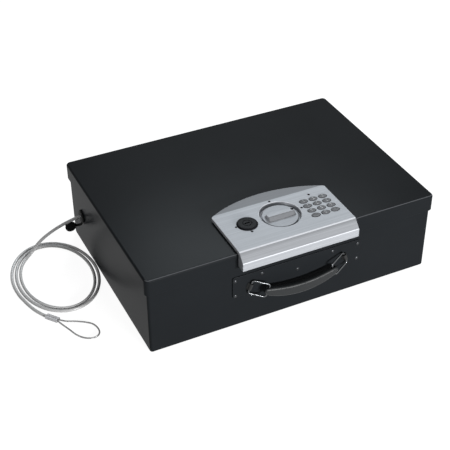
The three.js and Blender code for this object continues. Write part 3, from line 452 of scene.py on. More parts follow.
class Finish(Nodes):
    """A material, and what its patterns are made of."""

    def __init__(self, name, base, roughness, metallic=0.0, coat=0.0, ior=1.5):
        material = bpy.data.materials.new(name)
        material.use_nodes = True
        MATERIALS[name] = material
        super().__init__(material.node_tree, "Principled BSDF")
        self.set({"Base Color": (*base, 1), "Roughness": roughness, "Metallic": metallic,
                  "Coat Weight": coat, "Coat Roughness": 0.25, "IOR": ior})

    def place(self, scale=(1, 1, 1), rotation=(0, 0, 0)):
        """Object coordinates, stretched by scale."""
        coords = self.node("ShaderNodeTexCoord", output="Object")
        return self.node("ShaderNodeMapping", values={"Vector": coords, "Scale": scale,
                                                      "Rotation": rotation})

    def along(self, name, kind="Object"):
        """The place along one axis, in metres, or another texture coordinate's share of that axis."""
        coords = self.node("ShaderNodeTexCoord", output=kind)
        return self.node("ShaderNodeSeparateXYZ", values={"Vector": coords}, output=name)

    def facing(self, name):
        """How far the surface faces along one axis, from -1 to 1."""
        return self.along(name, "Normal")

    def noise(self, where, scale, detail=2.0, roughness=0.5):
        return self.node("ShaderNodeTexNoise", values={
            "Vector": where, "Scale": scale, "Detail": detail, "Roughness": roughness})

    def mix(self, factor, a, b):
        """A colour between a and b."""
        a, b = (value if isinstance(value, Wire) else (*value, 1) for value in (a, b))
        return self.node("ShaderNodeMix", {"data_type": "RGBA"}, {0: factor, 6: a, 7: b}, 2)

    def ramp(self, value, start, end):
        """value mapped from start..end to 0..1, clamped."""
        return self.node("ShaderNodeMapRange", {"clamp": True},
                         {"Value": value, "From Min": start, "From Max": end})

    def bump(self, height, distance, strength=1.0):
        bumped = self.node("ShaderNodeBump", values={
            "Height": height, "Distance": distance, "Strength": strength})
        self.feed("Normal", bumped)


# Colours of painted highlights and painted shade, which stand in for light on edges and slopes.
PAINT_HIGHLIGHT = (0.13, 0.135, 0.145)
SILVER_HIGHLIGHT = (0.72, 0.74, 0.78)
SILVER_SHADE = (0.04, 0.042, 0.045)
KNOB_SHADE = (0.05, 0.052, 0.056)


def shade(colour_value, factor):
    return tuple(min(1.0, channel * factor) for channel in colour_value)


def painted_steel():
    """Satin paint with a fine orange-peel grain and faint handling marks, and a painted highlight along
    the front bend.
    """
    paint = tuple(bpy.context.scene.safe_sheet.paint)
    finish = Finish("painted_steel", paint, 0.25, ior=1.08)
    grain = finish.noise(finish.place(), 950, 2)
    cloud = finish.noise(finish.place(), 9, 3)
    marks = finish.noise(finish.place((8, 60, 60)), 14, 4, 0.7)
    coat = finish.mix(cloud, shade(paint, 0.86), shade(paint, 1.16))
    up = finish.facing("Z")
    # Painted highlight: bends that face up and to the front are lightened.
    painted_highlight = (finish.ramp(up, 0.99, 0.95) * finish.ramp(up, 0.72, 0.84)
              * finish.ramp(finish.facing("Y"), -0.05, -0.15))
    finish.feed("Base Color", finish.mix(painted_highlight * 0.7, coat, PAINT_HIGHLIGHT))
    finish.feed("Roughness", 0.225 + 0.04 * cloud + 0.03 * finish.ramp(marks, 0.55, 0.75)
                + 0.09 * finish.ramp(up, 0.9, 0.4))
    finish.bump(grain, 0.03 * MM, 0.2)


def silver_finish(name, grain_scale):
    """Metallic silver plastic with fine lines along its length, and its colour before any shading."""
    silver = tuple(bpy.context.scene.safe_console.silver)
    finish = Finish(name, silver, 0.36, metallic=0.5)
    lines = finish.noise(finish.place(grain_scale), 1.0, 3, 0.6)
    cloud = finish.noise(finish.place(), 22, 2)
    finish.feed("Roughness", 0.54 + 0.12 * lines + 0.05 * cloud)
    finish.bump(lines, 0.02 * MM, 0.5)
    return finish, finish.mix(finish.ramp(lines, 0.3, 0.7), shade(silver, 0.84), shade(silver, 1.1))


def console_silver():
    """The console's finish, with painted shade on the crescent and the sloped front, and a painted
    highlight along its edges.
    """
    finish, lined = silver_finish("console_silver", (6, 900, 900))
    sizes = bpy.context.scene.safe_console
    y = finish.along("Y")
    chord = CONSOLE_HIGH.y - sizes.crescent
    behind = finish.ramp(y, chord - 0.1 * MM, chord + 0.1 * MM)
    ridge = CONSOLE_LOW.y + sizes.chamfer_run
    ahead = finish.ramp(y, ridge - 0.8 * MM, ridge - 1.4 * MM) * finish.ramp(
        y, CONSOLE_LOW.y + 0.4 * MM, CONSOLE_LOW.y + 1 * MM)
    # Painted shade: the crescent behind the chord and the sloped front are darkened, the front more
    # towards the ridge.
    painted_shade = behind * 0.55 + ahead * (0.3 + 0.2 * finish.ramp(y, ridge - 5 * MM, ridge - 1.4 * MM))
    tone_and_shade = finish.mix(painted_shade, lined, SILVER_SHADE)
    up = finish.facing("Z")
    # Painted highlight: edges that lean between up and sideways are lightened, except on the sloped
    # front.
    painted_highlight = finish.ramp(up, 0.985, 0.93) * finish.ramp(up, 0.3, 0.5) * (1 - ahead)
    finish.feed("Base Color", finish.mix(painted_highlight * 0.6, tone_and_shade, SILVER_HIGHLIGHT))


def knob_silver():
    """The knob's finish, with painted shade on the near flank of its bar."""
    finish, lined = silver_finish("knob_silver", (60, 900, 900))
    # Painted shade: faces of the bar that face the front are darkened.
    flank = finish.ramp(finish.facing("Y"), -0.15, -0.6)
    finish.feed("Base Color", finish.mix(flank * 0.75, lined, KNOB_SHADE))


def moulded_plastic(name, base, roughness, grain=1400, depth=0.02 * MM, ior=1.43, flank=0.0):
    """Plastic with a fine mould texture, and flank says how much painted shade darkens its upright
    sides.
    """
    finish = Finish(name, base, roughness, ior=ior)
    fine = finish.noise(finish.place(), grain, 2)
    cloud = finish.noise(finish.place(), 30, 2)
    tone_and_shade = finish.mix(cloud, shade(base, 0.9), shade(base, 1.12))
    if flank:
        # Painted shade: upright sides are darkened towards near-black.
        sides = finish.ramp(finish.facing("Z"), 0.97, 0.7)
        tone_and_shade = finish.mix(sides * flank, tone_and_shade, shade(base, 0.05))
    finish.feed("Base Color", tone_and_shade)
    finish.feed("Roughness", (roughness - 0.04) + 0.1 * fine)
    finish.bump(fine, depth, 0.5)


def bare_steel(name, base, roughness):
    """Plated steel with faint drawing lines and small stains."""
    finish = Finish(name, base, roughness, metallic=1.0)
    lines = finish.noise(finish.place((120, 120, 900)), 1.0, 3)
    stain = finish.noise(finish.place(), 160, 3, 0.6)
    finish.feed("Base Color", finish.mix(finish.ramp(stain, 0.45, 0.75), base, shade(base, 0.75)))
    finish.feed("Roughness", roughness + 0.14 * lines)
    finish.bump(lines, 0.01 * MM, 0.1)


def cable_coat():
    """Grey cable under a clear coat, with a fine mottle in its tone, gloss and surface."""
    coat = tuple(bpy.context.scene.safe_cable.coat)
    finish = Finish("cable_coat", coat, 0.34, coat=0.5)
    mottle = finish.noise(finish.place(), 420, 3, 0.6)
    finish.feed("Base Color", finish.mix(mottle, shade(coat, 0.84), shade(coat, 1.16)))
    finish.feed("Roughness", 0.28 + 0.15 * mottle)
    finish.bump(mottle, 0.08 * MM, 0.3)


def foam():
    finish = Finish("foam", (0.012, 0.012, 0.013), 0.95)
    cells = finish.noise(finish.place(), 700, 4, 0.7)
    finish.feed("Base Color", finish.mix(cells, (0.006, 0.006, 0.007), (0.03, 0.03, 0.032)))
    finish.bump(cells, 0.3 * MM, 0.8)


def make_materials():
    scene = bpy.context.scene
    grip = tuple(scene.safe_handle.grip)
    keys = tuple(scene.safe_console.keys)
    painted_steel()
    console_silver()
    knob_silver()
    moulded_plastic("black_plastic", (0.012, 0.0125, 0.013), 0.5, ior=1.35)
    # The keys' upright sides get painted shade.
    moulded_plastic("key_plastic", keys, 0.5, ior=1.3, flank=0.9)
    moulded_plastic("grip_plastic", grip, 0.42, 700, 0.05 * MM, 1.37)
    bare_steel("bare_steel", (0.55, 0.56, 0.57), 0.28)
    bare_steel("eye_steel", (0.30, 0.30, 0.30), 0.42)
    bare_steel("ferrule_steel", (0.38, 0.38, 0.39), 0.42)
    bare_steel("ring_steel", (0.12, 0.125, 0.13), 0.14)
    bare_steel("rivet_steel", (0.05, 0.052, 0.056), 0.28)
    cable_coat()
    moulded_plastic("rubber", (0.007, 0.007, 0.007), 0.6, 900, ior=1.15)
    foam()
    moulded_plastic("board", (0.02, 0.12, 0.05), 0.4)
    moulded_plastic("cell", (0.10, 0.08, 0.03), 0.3)
    moulded_plastic("lens", (0.012, 0.005, 0.005), 0.3, ior=1.1)
    moulded_plastic("ink", (0.01, 0.01, 0.012), 0.5, ior=1.1)
    moulded_plastic("legend", (0.8, 0.81, 0.83), 0.5)
    moulded_plastic("gloss_black", (0.008, 0.0085, 0.01), 0.33, ior=1.1)


# Camera and stage

AZIMUTH = math.radians(-25.478)
ELEVATION = math.radians(36.460)
ROLL = math.radians(-0.395)
CAMERA_PLACE = Vector((-0.58785, -1.16226, 1.00515))
CAMERA_LENS = 85.125
SENSOR = 36
AMBIENT = 0.22
FLOOR_COLOUR = (0.3, 0.3, 0.3)
FLOOR_GLOW = 0.92
PLAIN = (1, 1, 1)
# Each lamp's name, place, target, size, power in watts and tint
LAMPS = (
    ("lamp_left", (-2, -1, 0.9), (0, 0, 0.05), (0.2, 0.2), 2, PLAIN),
    ("lamp_front", (0.5, -2.6, 0.5), (0, -0.1, 0.08), (0.9, 0.25), 83, PLAIN),
    ("lamp_top", (0.9, 0, 2.4), (0, 0, 0.1), (0.25, 0.25), 5, PLAIN),
    ("lamp_rear", (0.85, 1.6, 1.75), (0, 0, 0.1), (0.9, 0.15), 17, (0.86, 0.95, 1)),
)


class SAFE_OT_stage(bpy.types.Operator):
    """Sets up the camera, the soft studio light and the pale floor"""

    bl_idname = "safe.stage"
    bl_label = "Stage"

    def execute(self, context):
        scene = context.scene
        camera_data = bpy.data.cameras.new("camera")
        camera_data.sensor_width = SENSOR
        camera_data.lens = CAMERA_LENS
        camera_data.clip_start = 0.05
        camera_data.clip_end = 50
        camera = bpy.data.objects.new("camera", camera_data)
        scene.collection.objects.link(camera)
        aim = Euler((math.pi / 2 - ELEVATION, 0, AZIMUTH)).to_matrix() @ Matrix.Rotation(ROLL, 3, "Z")
        camera.matrix_world = Matrix.LocRotScale(CAMERA_PLACE, aim, None)
        scene.camera = camera
        scene.view_settings.view_transform = "Standard"
        self.world(scene)
        for lamp in LAMPS:
            self.lamp(scene, *lamp)
        self.floor()
        return {"FINISHED"}

    def world(self, scene):
        """A white background for the camera and for reflections, and a plain level of light."""
        world = bpy.data.worlds.new("studio")
        scene.world = world
        world.use_nodes = True
        sky = Nodes(world.node_tree, "Background")
        sky.set({"Color": (1, 1, 1, 1)})
        sky.feed("Strength", sky.node("ShaderNodeMapRange", values={
            "Value": sky.seen(), "To Min": AMBIENT, "To Max": 1}))

    def lamp(self, scene, name, place, target, size, power, tint):
        data = bpy.data.lights.new(name, "AREA")
        data.color = tint
        data.shape = "RECTANGLE"
        data.size, data.size_y = size
        data.energy = power
        lamp = bpy.data.objects.new(name, data)
        scene.collection.objects.link(lamp)
        lamp.location = place
        aim = Vector(target) - Vector(place)
        lamp.rotation_euler = aim.to_track_quat("-Z", "Y").to_euler()

    def floor(self):
        select_none()
        bpy.ops.mesh.primitive_plane_add(size=40, location=(0, 0, 0))
        floor = named("floor")
        finish = Finish("floor", FLOOR_COLOUR, 0.9)
        finish.set({"Specular IOR Level": 0, "Emission Color": (1, 1, 1, 1)})
        finish.feed("Emission Strength", finish.seen() * FLOOR_GLOW)
        painted(floor, "floor")


# The tether cable, its ferrule, eye, grommet and plug

CABLE_ROUTE = (
    (-225.2, 108, 60), (-233, 108.3, 59.2), (-240, 109, 57.2), (-250, 110.6, 53.2),
    (-261, 113.5, 47), (-271, 117.6, 39), (-281, 122, 29.5), (-289.5, 125.3, 20),
    (-296, 126.2, 12.2), (-302.1, 125, 6.4), (-306.3, 123.2, 4.2), (-310.4, 120.4, 2.9),
    (-313.85, 117.11, 2.5),
)
CABLE_TAIL = (
    (-346, 27, 2.5), (-342, 10.5, 2.5), (-336.6, -5, 2.5), (-329.8, -17.9, 2.5),
    (-326.9, -21.7, 2.5),
)
EYE_ROUTE = (
    (-313, -37, 2.7), (-311.2, -39.3, 2.5), (-303.7, -44.4, 1.7), (-291.5, -50.2, 1.35),
    (-280, -58, 1.35), (-272.7, -65.5, 1.35), (-269.5, -75.5, 1.35), (-270.4, -86, 1.35),
    (-276, -92, 1.35), (-284.5, -92.4, 1.35), (-293.6, -87, 1.35), (-301, -76.7, 1.35),
    (-306.7, -61.5, 1.5), (-311.6, -49.5, 1.9), (-314.5, -42.3, 2.4), (-315.7, -39.1, 2.7),
)
STRANDS = 6
STRAND_LAY = 12 * MM
BARREL_ASIDE = 2.4 * MM
BARREL_HALF = 10 * MM
COIL_CENTRE = Vector((-285.45, 57, 2.5))
COIL_START = 130
COIL_END = 912
COIL_STEP = 15
COIL_RADII = (50.45, 74.3)
COIL_ZERO = 160


def coil_points(growth_x, growth_y):
    """The turns of the coil, each a little wider than the one before."""
    points = []
    for angle in range(COIL_START, COIL_END, COIL_STEP):
        turns = (angle - COIL_ZERO) / 360
        turn = math.radians(angle)
        points.append(COIL_CENTRE + Vector((
            (COIL_RADII[0] + growth_x * turns) * math.cos(turn),
            (COIL_RADII[1] + growth_y * turns) * math.sin(turn), 0)))
    return points


def smooth_path(points, step):
    """A Catmull-Rom line through the points, in millimetres, as points in metres about a step apart."""
    points = [Vector(p) for p in points]
    ends = [2 * points[0] - points[1]] + points + [2 * points[-1] - points[-2]]
    path = []
    for a, b, c, d in zip(ends, ends[1:], ends[2:], ends[3:]):
        count = max(1, round((c - b).length / step))
        for index in range(count):
            t = index / count
            path.append(0.5 * (2 * b + (c - a) * t + (2 * a - 5 * b + 4 * c - d) * t * t
                               + (3 * b - a - 3 * c + d) * t ** 3) * MM)
    path.append(points[-1] * MM)
    return path


def path_length(path):
    return sum((b - a).length for a, b in zip(path, path[1:]))


def tube(name, path, radius, closed=False, resolution=4):
    """A round wire along a path, as a mesh with its own UV map."""
    curve = bpy.data.curves.new(name, "CURVE")
    curve.dimensions = "3D"
    curve.bevel_depth = radius
    curve.bevel_resolution = resolution
    curve.use_fill_caps = not closed
    spline = curve.splines.new("POLY")
    spline.points.add(len(path) - 1)
    for point, place in zip(spline.points, path):
        point.co = (*place, 1)
    spline.use_cyclic_u = closed
    obj = bpy.data.objects.new(name, curve)
    bpy.context.scene.collection.objects.link(obj)
    use(obj)
    bpy.ops.object.convert(target="MESH")
    obj = bpy.context.active_object
    mode("EDIT")
    select_mesh()
    bpy.ops.mesh.remove_doubles(threshold=0.001 * MM)
    face_outwards()
    return obj


def strands(name, path, radius):
    """Wires twisted round a path into one rope of the given radius."""
    wire = radius / (1 + 1 / math.sin(math.pi / STRANDS))
    reach = radius - wire
    side = Vector((0, 0, 1))
    rails = [[] for _ in range(STRANDS)]
    travelled = 0
    for index, place in enumerate(path):
        ahead = path[min(index + 1, len(path) - 1)] - path[max(index - 1, 0)]
        ahead.normalize()
        side = (side - side.dot(ahead) * ahead).normalized()
        other = ahead.cross(side)
        if index:
            travelled += (place - path[index - 1]).length
        for strand, rail in enumerate(rails):
            turn = 2 * math.pi * (strand / STRANDS + travelled / STRAND_LAY)
            rail.append(place + reach * (math.cos(turn) * side + math.sin(turn) * other))
    pieces = [tube(name, rail, wire, resolution=2) for rail in rails]
    pieces.append(tube(name, path, reach, resolution=2))
    return join(name, pieces)


def softened(name, node, body, finish, width, segments=2, slot=None):
    """A copy of a CAD node, merged and with its sharp edges rounded, in place of that node."""
    obj = bpy.data.objects.new(name, NODES[node].data.copy())
    bpy.context.scene.collection.objects.link(obj)
    bevel(obj, width, segments, 35)
    finished(obj, body, finish, node, slot=slot)


class SAFE_OT_cable(bpy.types.Operator):
    """Lays the coiled tether cable with its ferrule, eye, grommet and spare plug"""

    bl_idname = "safe.cable"
    bl_label = "Cable"

    def execute(self, context):
        sizes = context.scene.safe_cable
        coil = coil_points(sizes.growth_across / MM, sizes.growth_along / MM)
        path = smooth_path((*CABLE_ROUTE, *coil, *CABLE_TAIL), 2.5)
        cable = tube("tether_cable", path, sizes.radius)
        finished(cable, "case", "cable_coat", "cable", "cable_coil", slot="cable_steel")
        ferrule = self.ferrule()
        eye = strands("wire_eye", smooth_path(EYE_ROUTE, 1), sizes.eye_radius)
        finished(eye, "case", "eye_steel", "cable_eye", slot="cable_steel")
        path_length(path)
        softened("grommet", "cable_grommet", "case", "rubber", 0.3 * MM, 3)
        softened("spare_plug", "hole_plug", "case", "rubber", 0.4 * MM, 3)
        return {"FINISHED"}

    def ferrule(self):
        """Two barrels pressed side by side from one sleeve, with a groove between them."""
        centre = middle("cable_ferrule")
        barrel = (high("cable_ferrule").z - low("cable_ferrule").z) / 2
        ahead = (Vector(EYE_ROUTE[0]) + Vector(EYE_ROUTE[-1])) / 2 - Vector(CABLE_TAIL[-1])
        ahead.z = 0
        ahead.normalize()
        aside = BARREL_ASIDE * Vector((-ahead.y, ahead.x, 0))
        half = BARREL_HALF * ahead
        middles = (centre - aside, centre + aside)
        sleeve, other = (tube("crimp_ferrule", [spot - half, spot + half], barrel, resolution=8)
                         for spot in middles)
        boolean(sleeve, other, "UNION")
        bevel(sleeve, 0.4 * MM, 3, 50)
        return finished(sleeve, "case", "ferrule_steel", "cable_ferrule", slot="bare_steel")


# The case, the lid and the hinges

SHEET_EDGE = 0.25 * MM
CABLE_HOLE = 7.5 * MM
KNOB_HOLE = 32.1 * MM
LOCK_HOLE = 9.5 * MM


def folded(name, lowest, highest, corner, level, bend, cuts):
    """A block with rounded upright edges, and rounded edges at one level."""
    obj = block(name, lowest, highest)
    bevel_upright(obj, corner, cuts[0])
    bevel_level(obj, level, bend, cuts[1])
    return obj


class SAFE_OT_case(bpy.types.Operator):
    """Folds the case body, with its inward flange and the cable's hole"""

    bl_idname = "safe.case"
    bl_label = "Case"

    def execute(self, context):
        sizes = context.scene.safe_sheet
        sheet = sizes.sheet
        walls = Vector((sheet,) * 3)
        cuts = (6, 4)
        case = folded("case_body", CASE_LOW, CASE_HIGH, sizes.case_corner, CASE_LOW.z,
                      sizes.lid_bend, cuts)
        boolean(case, folded("room", CASE_LOW + walls, CASE_HIGH - walls, sizes.case_corner - sheet,
                             CASE_LOW.z + sheet, sizes.lid_bend - sheet, cuts))
        rim = Vector((sizes.flange, sizes.flange, 0))
        above = Vector((0, 0, sheet))
        mouth = block("mouth", at(CASE_LOW, CASE_HIGH.z - 2 * sheet) + rim, CASE_HIGH - rim + above)
        bevel_upright(mouth, 0.5 * sheet, 3)
        boolean(case, mouth)
        through = Vector((sizes.flange, 0, 0))
        wall = Vector((CASE_LOW.x, GROMMET.y, GROMMET.z))
        boolean(case, round_bar("hole", CABLE_HOLE, wall - through, wall + through, "X"))
        bevel(case, SHEET_EDGE, 2, 50)
        finished(case, "case", "painted_steel", "case_shell", angle=50)
        return {"FINISHED"}


class SAFE_OT_lid(bpy.types.Operator):
    """Folds the lid pan and pierces it for the lock works"""

    bl_idname = "safe.lid"
    bl_label = "Lid"

    def execute(self, context):
        sizes = context.scene.safe_sheet
        sheet = sizes.sheet
        top = LID_HIGH.z
        cuts = (8, 5)
        lid = folded("lid_pan", LID_LOW, LID_HIGH, sizes.lid_corner, top, sizes.lid_bend, cuts)
        wall = Vector((sheet, sheet, 0))
        room_low = at(LID_LOW, 2 * LID_LOW.z - top) + wall
        room_high = at(LID_HIGH, top - sheet) - wall
        boolean(lid, folded("room", room_low, room_high, sizes.lid_corner - sheet, top - sheet,
                            sizes.lid_bend - sheet, cuts))
        through = 4 * sheet
        for spot, radius in ((KNOB, KNOB_HOLE), (KEY_LOCK, LOCK_HOLE)):
            drill(lid, spot, radius, top - through, top + through)
        keys_low = low("key_10")
        keys_high = high("key_3")
        reach = Vector((1.5 * MM, 1.5 * MM, 0))
        boolean(lid, block("window", at(keys_low, top - through) - reach,
                           at(keys_high, top + through) + reach))
        bevel(lid, SHEET_EDGE, 2, 50)
        finished(lid, "lid", "painted_steel", "lid_shell", angle=50)
        return {"FINISHED"}


class SAFE_OT_hinges(bpy.types.Operator):
    """Finishes the two butt hinges and sets their rivets"""

    bl_idname = "safe.hinges"
    bl_label = "Hinges"

    def execute(self, context):
        paint = "painted_steel"
        leaf_face = 1.5 * MM
        inset = 6 * MM
        pitch = 20 * MM
        lid_face = LID_HIGH.y + leaf_face
        case_face = CASE_HIGH.y + leaf_face
        head = in_mm((2.6, 0), (2.4, 0.6), (1.6, 1.1), (0, 1.3))
        for side in ("left", "right"):
            leaf = f"hinge_leaf_lid_{side}"
            case_leaf = f"hinge_leaf_case_{side}"
            softened(f"lid_leaf_{side}", leaf, "lid", paint, SHEET_EDGE)
            softened(f"case_leaf_{side}", case_leaf, "case", paint, SHEET_EDGE)
            softened(f"pin_{side}", f"hinge_pin_{side}", "case", "bare_steel", 0.3 * MM)
            centre = middle(leaf).x
            for body, face, z in (("lid", lid_face, high(leaf).z - inset),
                                  ("case", case_face, low(case_leaf).z + inset)):
                heads = [turned("head", head, (centre + step, face, z), "Y", 24)
                         for step in (-pitch, 0, pitch)]
                finished(join(f"{body}_rivets_{side}", heads), body, paint)
        return {"FINISHED"}


# The console, the knob, the key lock and the keys

def key_spots():
    """Each key's name and the middle of its cap."""
    return [(f"key_{number}", middle(f"key_{number}")) for number in range(1, 13)]


def oval(name, centre, width, depth, bottom, top):
    """An upright oval bar."""
    select_none()
    bpy.ops.mesh.primitive_cylinder_add(
        vertices=48, radius=0.5, depth=top - bottom, location=at(centre, (top + bottom) / 2))
    bpy.context.active_object.scale = (width, depth, 1)
    return settled(name)


KEY_WIDTH = 12.6 * MM
KEY_DEPTH = 8.6 * MM
SEAM = 0.3 * MM
RIDGE_ROUND = 1.6 * MM
OUTER_ROUND = 0.7 * MM
HOLE_ROUND = 0.18 * MM
DISH_WALL = 1.8 * MM
DISH_FLOOR = 1.5 * MM
DISH_RIM = 1.2 * MM
HUB_DEPTH = 4 * MM
HUB_HOLE = 6.35 * MM
LOCK_RECESS = 15.3 * MM
RECESS_DEPTH = 1 * MM
LOCK_BORE = 9.3 * MM
LIGHT_HOLE = 1.9 * MM


def bar_across(name, section, half):
    """A bar along X, from -half to half, with a section of (y, z) pairs."""
    return prism(name, [(-half, y, z) for y, z in section], (2 * half, 0, 0))


class SAFE_OT_console(bpy.types.Operator):
    """Moulds the console over the middle of the lid's front edge"""

    bl_idname = "safe.console"
    bl_label = "Console"

    def execute(self, context):
        sizes = context.scene.safe_console
        top = CONSOLE_HIGH.z
        rear = CONSOLE_HIGH.y
        foot = CONSOLE_LOW.y
        bottom = CONSOLE_LOW.z
        half = CONSOLE_HIGH.x
        beyond = 5 * MM
        rest = LID_HIGH.z + SEAM
        inner = LID_LOW.y - SEAM
        ridge = foot + sizes.chamfer_run
        foot_top = top - sizes.chamfer_drop
        section = ((foot, bottom), (inner, bottom), (inner, rest), (rear, rest), (rear, top),
                   (ridge, top), (foot, foot_top))
        console = bar_across("console_moulding", section, half + beyond)
        arc_centre = rear - sizes.rear_radius
        spread = math.asin(half / sizes.rear_radius)
        arc = [(sizes.rear_radius * math.sin(turn), arc_centre + sizes.rear_radius * math.cos(turn))
               for turn in (spread * (1 - step / 24) for step in range(49))]
        plan = [(-half, foot - beyond), (half, foot - beyond), *arc]
        boolean(console, prism("plan", [(x, y, bottom - beyond) for x, y in plan],
                               (0, 0, top - bottom + 2 * beyond)), "INTERSECT")
        chord = rear - sizes.crescent
        slope = sizes.crescent_drop / sizes.crescent
        past = rear + beyond
        wedge = ((chord, top), (past, top - slope * (past - chord)), (past, top + beyond),
                 (chord, top + beyond))
        boolean(console, bar_across("wedge", wedge, 2 * half))
        round_edges(console, lambda a, b: abs(a.y - ridge) < MM and abs(a.x - b.x) > half,
                    RIDGE_ROUND, 4)
        bevel(console, OUTER_ROUND, 3, 40)
        hollow_back = chord - sizes.wall
        under = top - sizes.wall
        hollow = ((foot + sizes.wall, bottom - beyond), (hollow_back, bottom - beyond),
                  (hollow_back, under), (ridge + sizes.wall / 2, under),
                  (foot + sizes.wall, foot_top - sizes.wall / 2))
        boolean(console, bar_across("hollow", hollow, half - sizes.wall))
        self.dish(console, sizes, top)
        self.holes(console, sizes, top)
        bevel(console, HOLE_ROUND, 2, 50)
        finished(console, "lid", "console_silver", "console", slot="silver_plastic", angle=35)
        self.marks(top)
        return {"FINISHED"}

    def dish(self, console, sizes, top):
        """The round dish that the knob sits in, with its rounded rim."""
        floor = top - sizes.dish_depth
        radius = sizes.dish_radius
        cup = round_bar("cup", radius + DISH_WALL, at(KNOB, floor - DISH_FLOOR),
                        at(KNOB, top - sizes.wall / 2), vertices=96)
        boolean(console, cup, "UNION")
        rim = DISH_RIM
        arc = [(radius + rim * (1 - math.cos(turn)), top - rim * (1 - math.sin(turn)))
               for turn in (math.pi / 2 * step / 6 for step in range(7))]
        above = top + 2 * rim
        profile = [(0, floor), (radius - rim, floor), (radius, floor + rim), *arc,
                   (radius + rim, above), (0, above)]
        boolean(console, turned("bowl", profile, at(KNOB, 0), steps=96))
        drill(console, KNOB, HUB_HOLE, floor - HUB_DEPTH, top)

    def holes(self, console, sizes, top):
        """The recess of the key lock, the status light's hole and the keys' holes."""
        deep = top - 3 * sizes.wall
        above = top + sizes.wall
        drill(console, KEY_LOCK, LOCK_RECESS, top - RECESS_DEPTH, above, 96)
        drill(console, KEY_LOCK, LOCK_BORE, deep, top)
        drill(console, middle("status_led"), LIGHT_HOLE, deep, above, 32)
        gap = 2 * sizes.key_gap
        for _, spot in key_spots():
            boolean(console, oval("key_hole", spot, KEY_WIDTH + gap, KEY_DEPTH + gap, deep, above))

    def marks(self, top):
        """Small dark dots that mark the knob's and the key's two positions."""
        dot = in_mm((1.8, -0.1), (1.8, 0.1), (1.5, 0.2), (0, 0.25))
        spots = (Vector((34 * MM, KNOB.y)), Vector((0, -75 * MM)), Vector((-69.2 * MM, KEY_LOCK.y)),
                 Vector((-53.7 * MM, -127.5 * MM)))
        dots = [turned("dot", dot, at(spot, top), steps=24) for spot in spots]
        marks = join("console_marks", dots)
        finished(marks, "lid", "ink", slot="black_plastic")


class SAFE_OT_knob(bpy.types.Operator):
    """Makes the turn knob: a disc with a tapered bar across it and a pointer dot"""

    bl_idname = "safe.knob"
    bl_label = "Knob"

    def execute(self, context):
        knob_top = high("knob").z
        radius = high("knob").x
        hub = 6 * MM
        hub_length = 8 * MM
        disc_height = 5.2 * MM
        pointer_reach = 18.4 * MM
        bar_height = 6 * MM
        bar_half = Vector((22 * MM, 8.5 * MM, 0))
        top_share = (0.95, 8 / 17, 1)
        face = knob_top - bar_height
        under = face - disc_height
        hub_foot = under - hub_length
        foot_round = 0.5 * MM
        rim = 0.8 * MM
        bent = 0.25 * MM
        disc = turned("turn_knob", (
            (0, hub_foot), (hub, hub_foot), (hub, under), (radius - foot_round, under),
            (radius, under + foot_round), (radius, face - rim), (radius - bent, face - bent),
            (radius - rim, face), (0, face)), at(KNOB, 0), steps=96)
        bar = block("bar", at(KNOB, face - rim) - bar_half, at(KNOB, knob_top) + bar_half)
        pick_top(bar)
        bpy.ops.transform.resize(value=top_share)
        mode("OBJECT")
        round_edges(bar, lambda a, b: abs(a.z - b.z) > MM, 2.4 * MM, 5)
        bevel_level(bar, knob_top, 1 * MM, 4)
        boolean(disc, bar, "UNION")
        bevel(disc, 0.35 * MM, 3, 45)
        finished(disc, "knob", "knob_silver", "knob", slot="silver_plastic", angle=35)
        profile = in_mm((2.2, -0.1), (2.2, 0.15), (1.9, 0.3), (0, 0.35))
        dot = turned("knob_pointer", profile, (KNOB.x + pointer_reach, KNOB.y, knob_top), steps=24)
        finished(dot, "knob", "ink", slot="black_plastic")
        return {"FINISHED"}


class SAFE_OT_key_lock(bpy.types.Operator):
    """Makes the key lock's round bezel and softens its rotor"""

    bl_idname = "safe.key_lock"
    bl_label = "Key lock"

    def execute(self, context):
        bottom = low("key_bezel").z
        top = high("key_bezel").z
        radius = high("key_bezel").x - KEY_LOCK.x
        bore = 6.35 * MM
        profile = (
            (bore, bottom), (radius, bottom), (radius, top - 1.5 * MM),
            (radius - 0.3 * MM, top - 0.8 * MM), (radius - 1.1 * MM, top - 0.25 * MM),
            (radius - 2.2 * MM, top - 0.1 * MM), (bore + 1.4 * MM, top - 0.05 * MM),
            (bore + 0.5 * MM, top), (bore, top - 0.3 * MM), (bore, bottom))
        bezel = turned("lock_bezel", profile, at(KEY_LOCK, 0), steps=96)
        finished(bezel, "lid", "gloss_black", "key_bezel", slot="black_plastic", angle=30)
        softened("lock_rotor", "key_rotor", "key_lock", "gloss_black", 0.25 * MM, 3,
                 slot="black_plastic")
        return {"FINISHED"}


LEGENDS = ("1", "2", "3", "4", "5", "6", "7", "8", "9", "-", "0", "+")


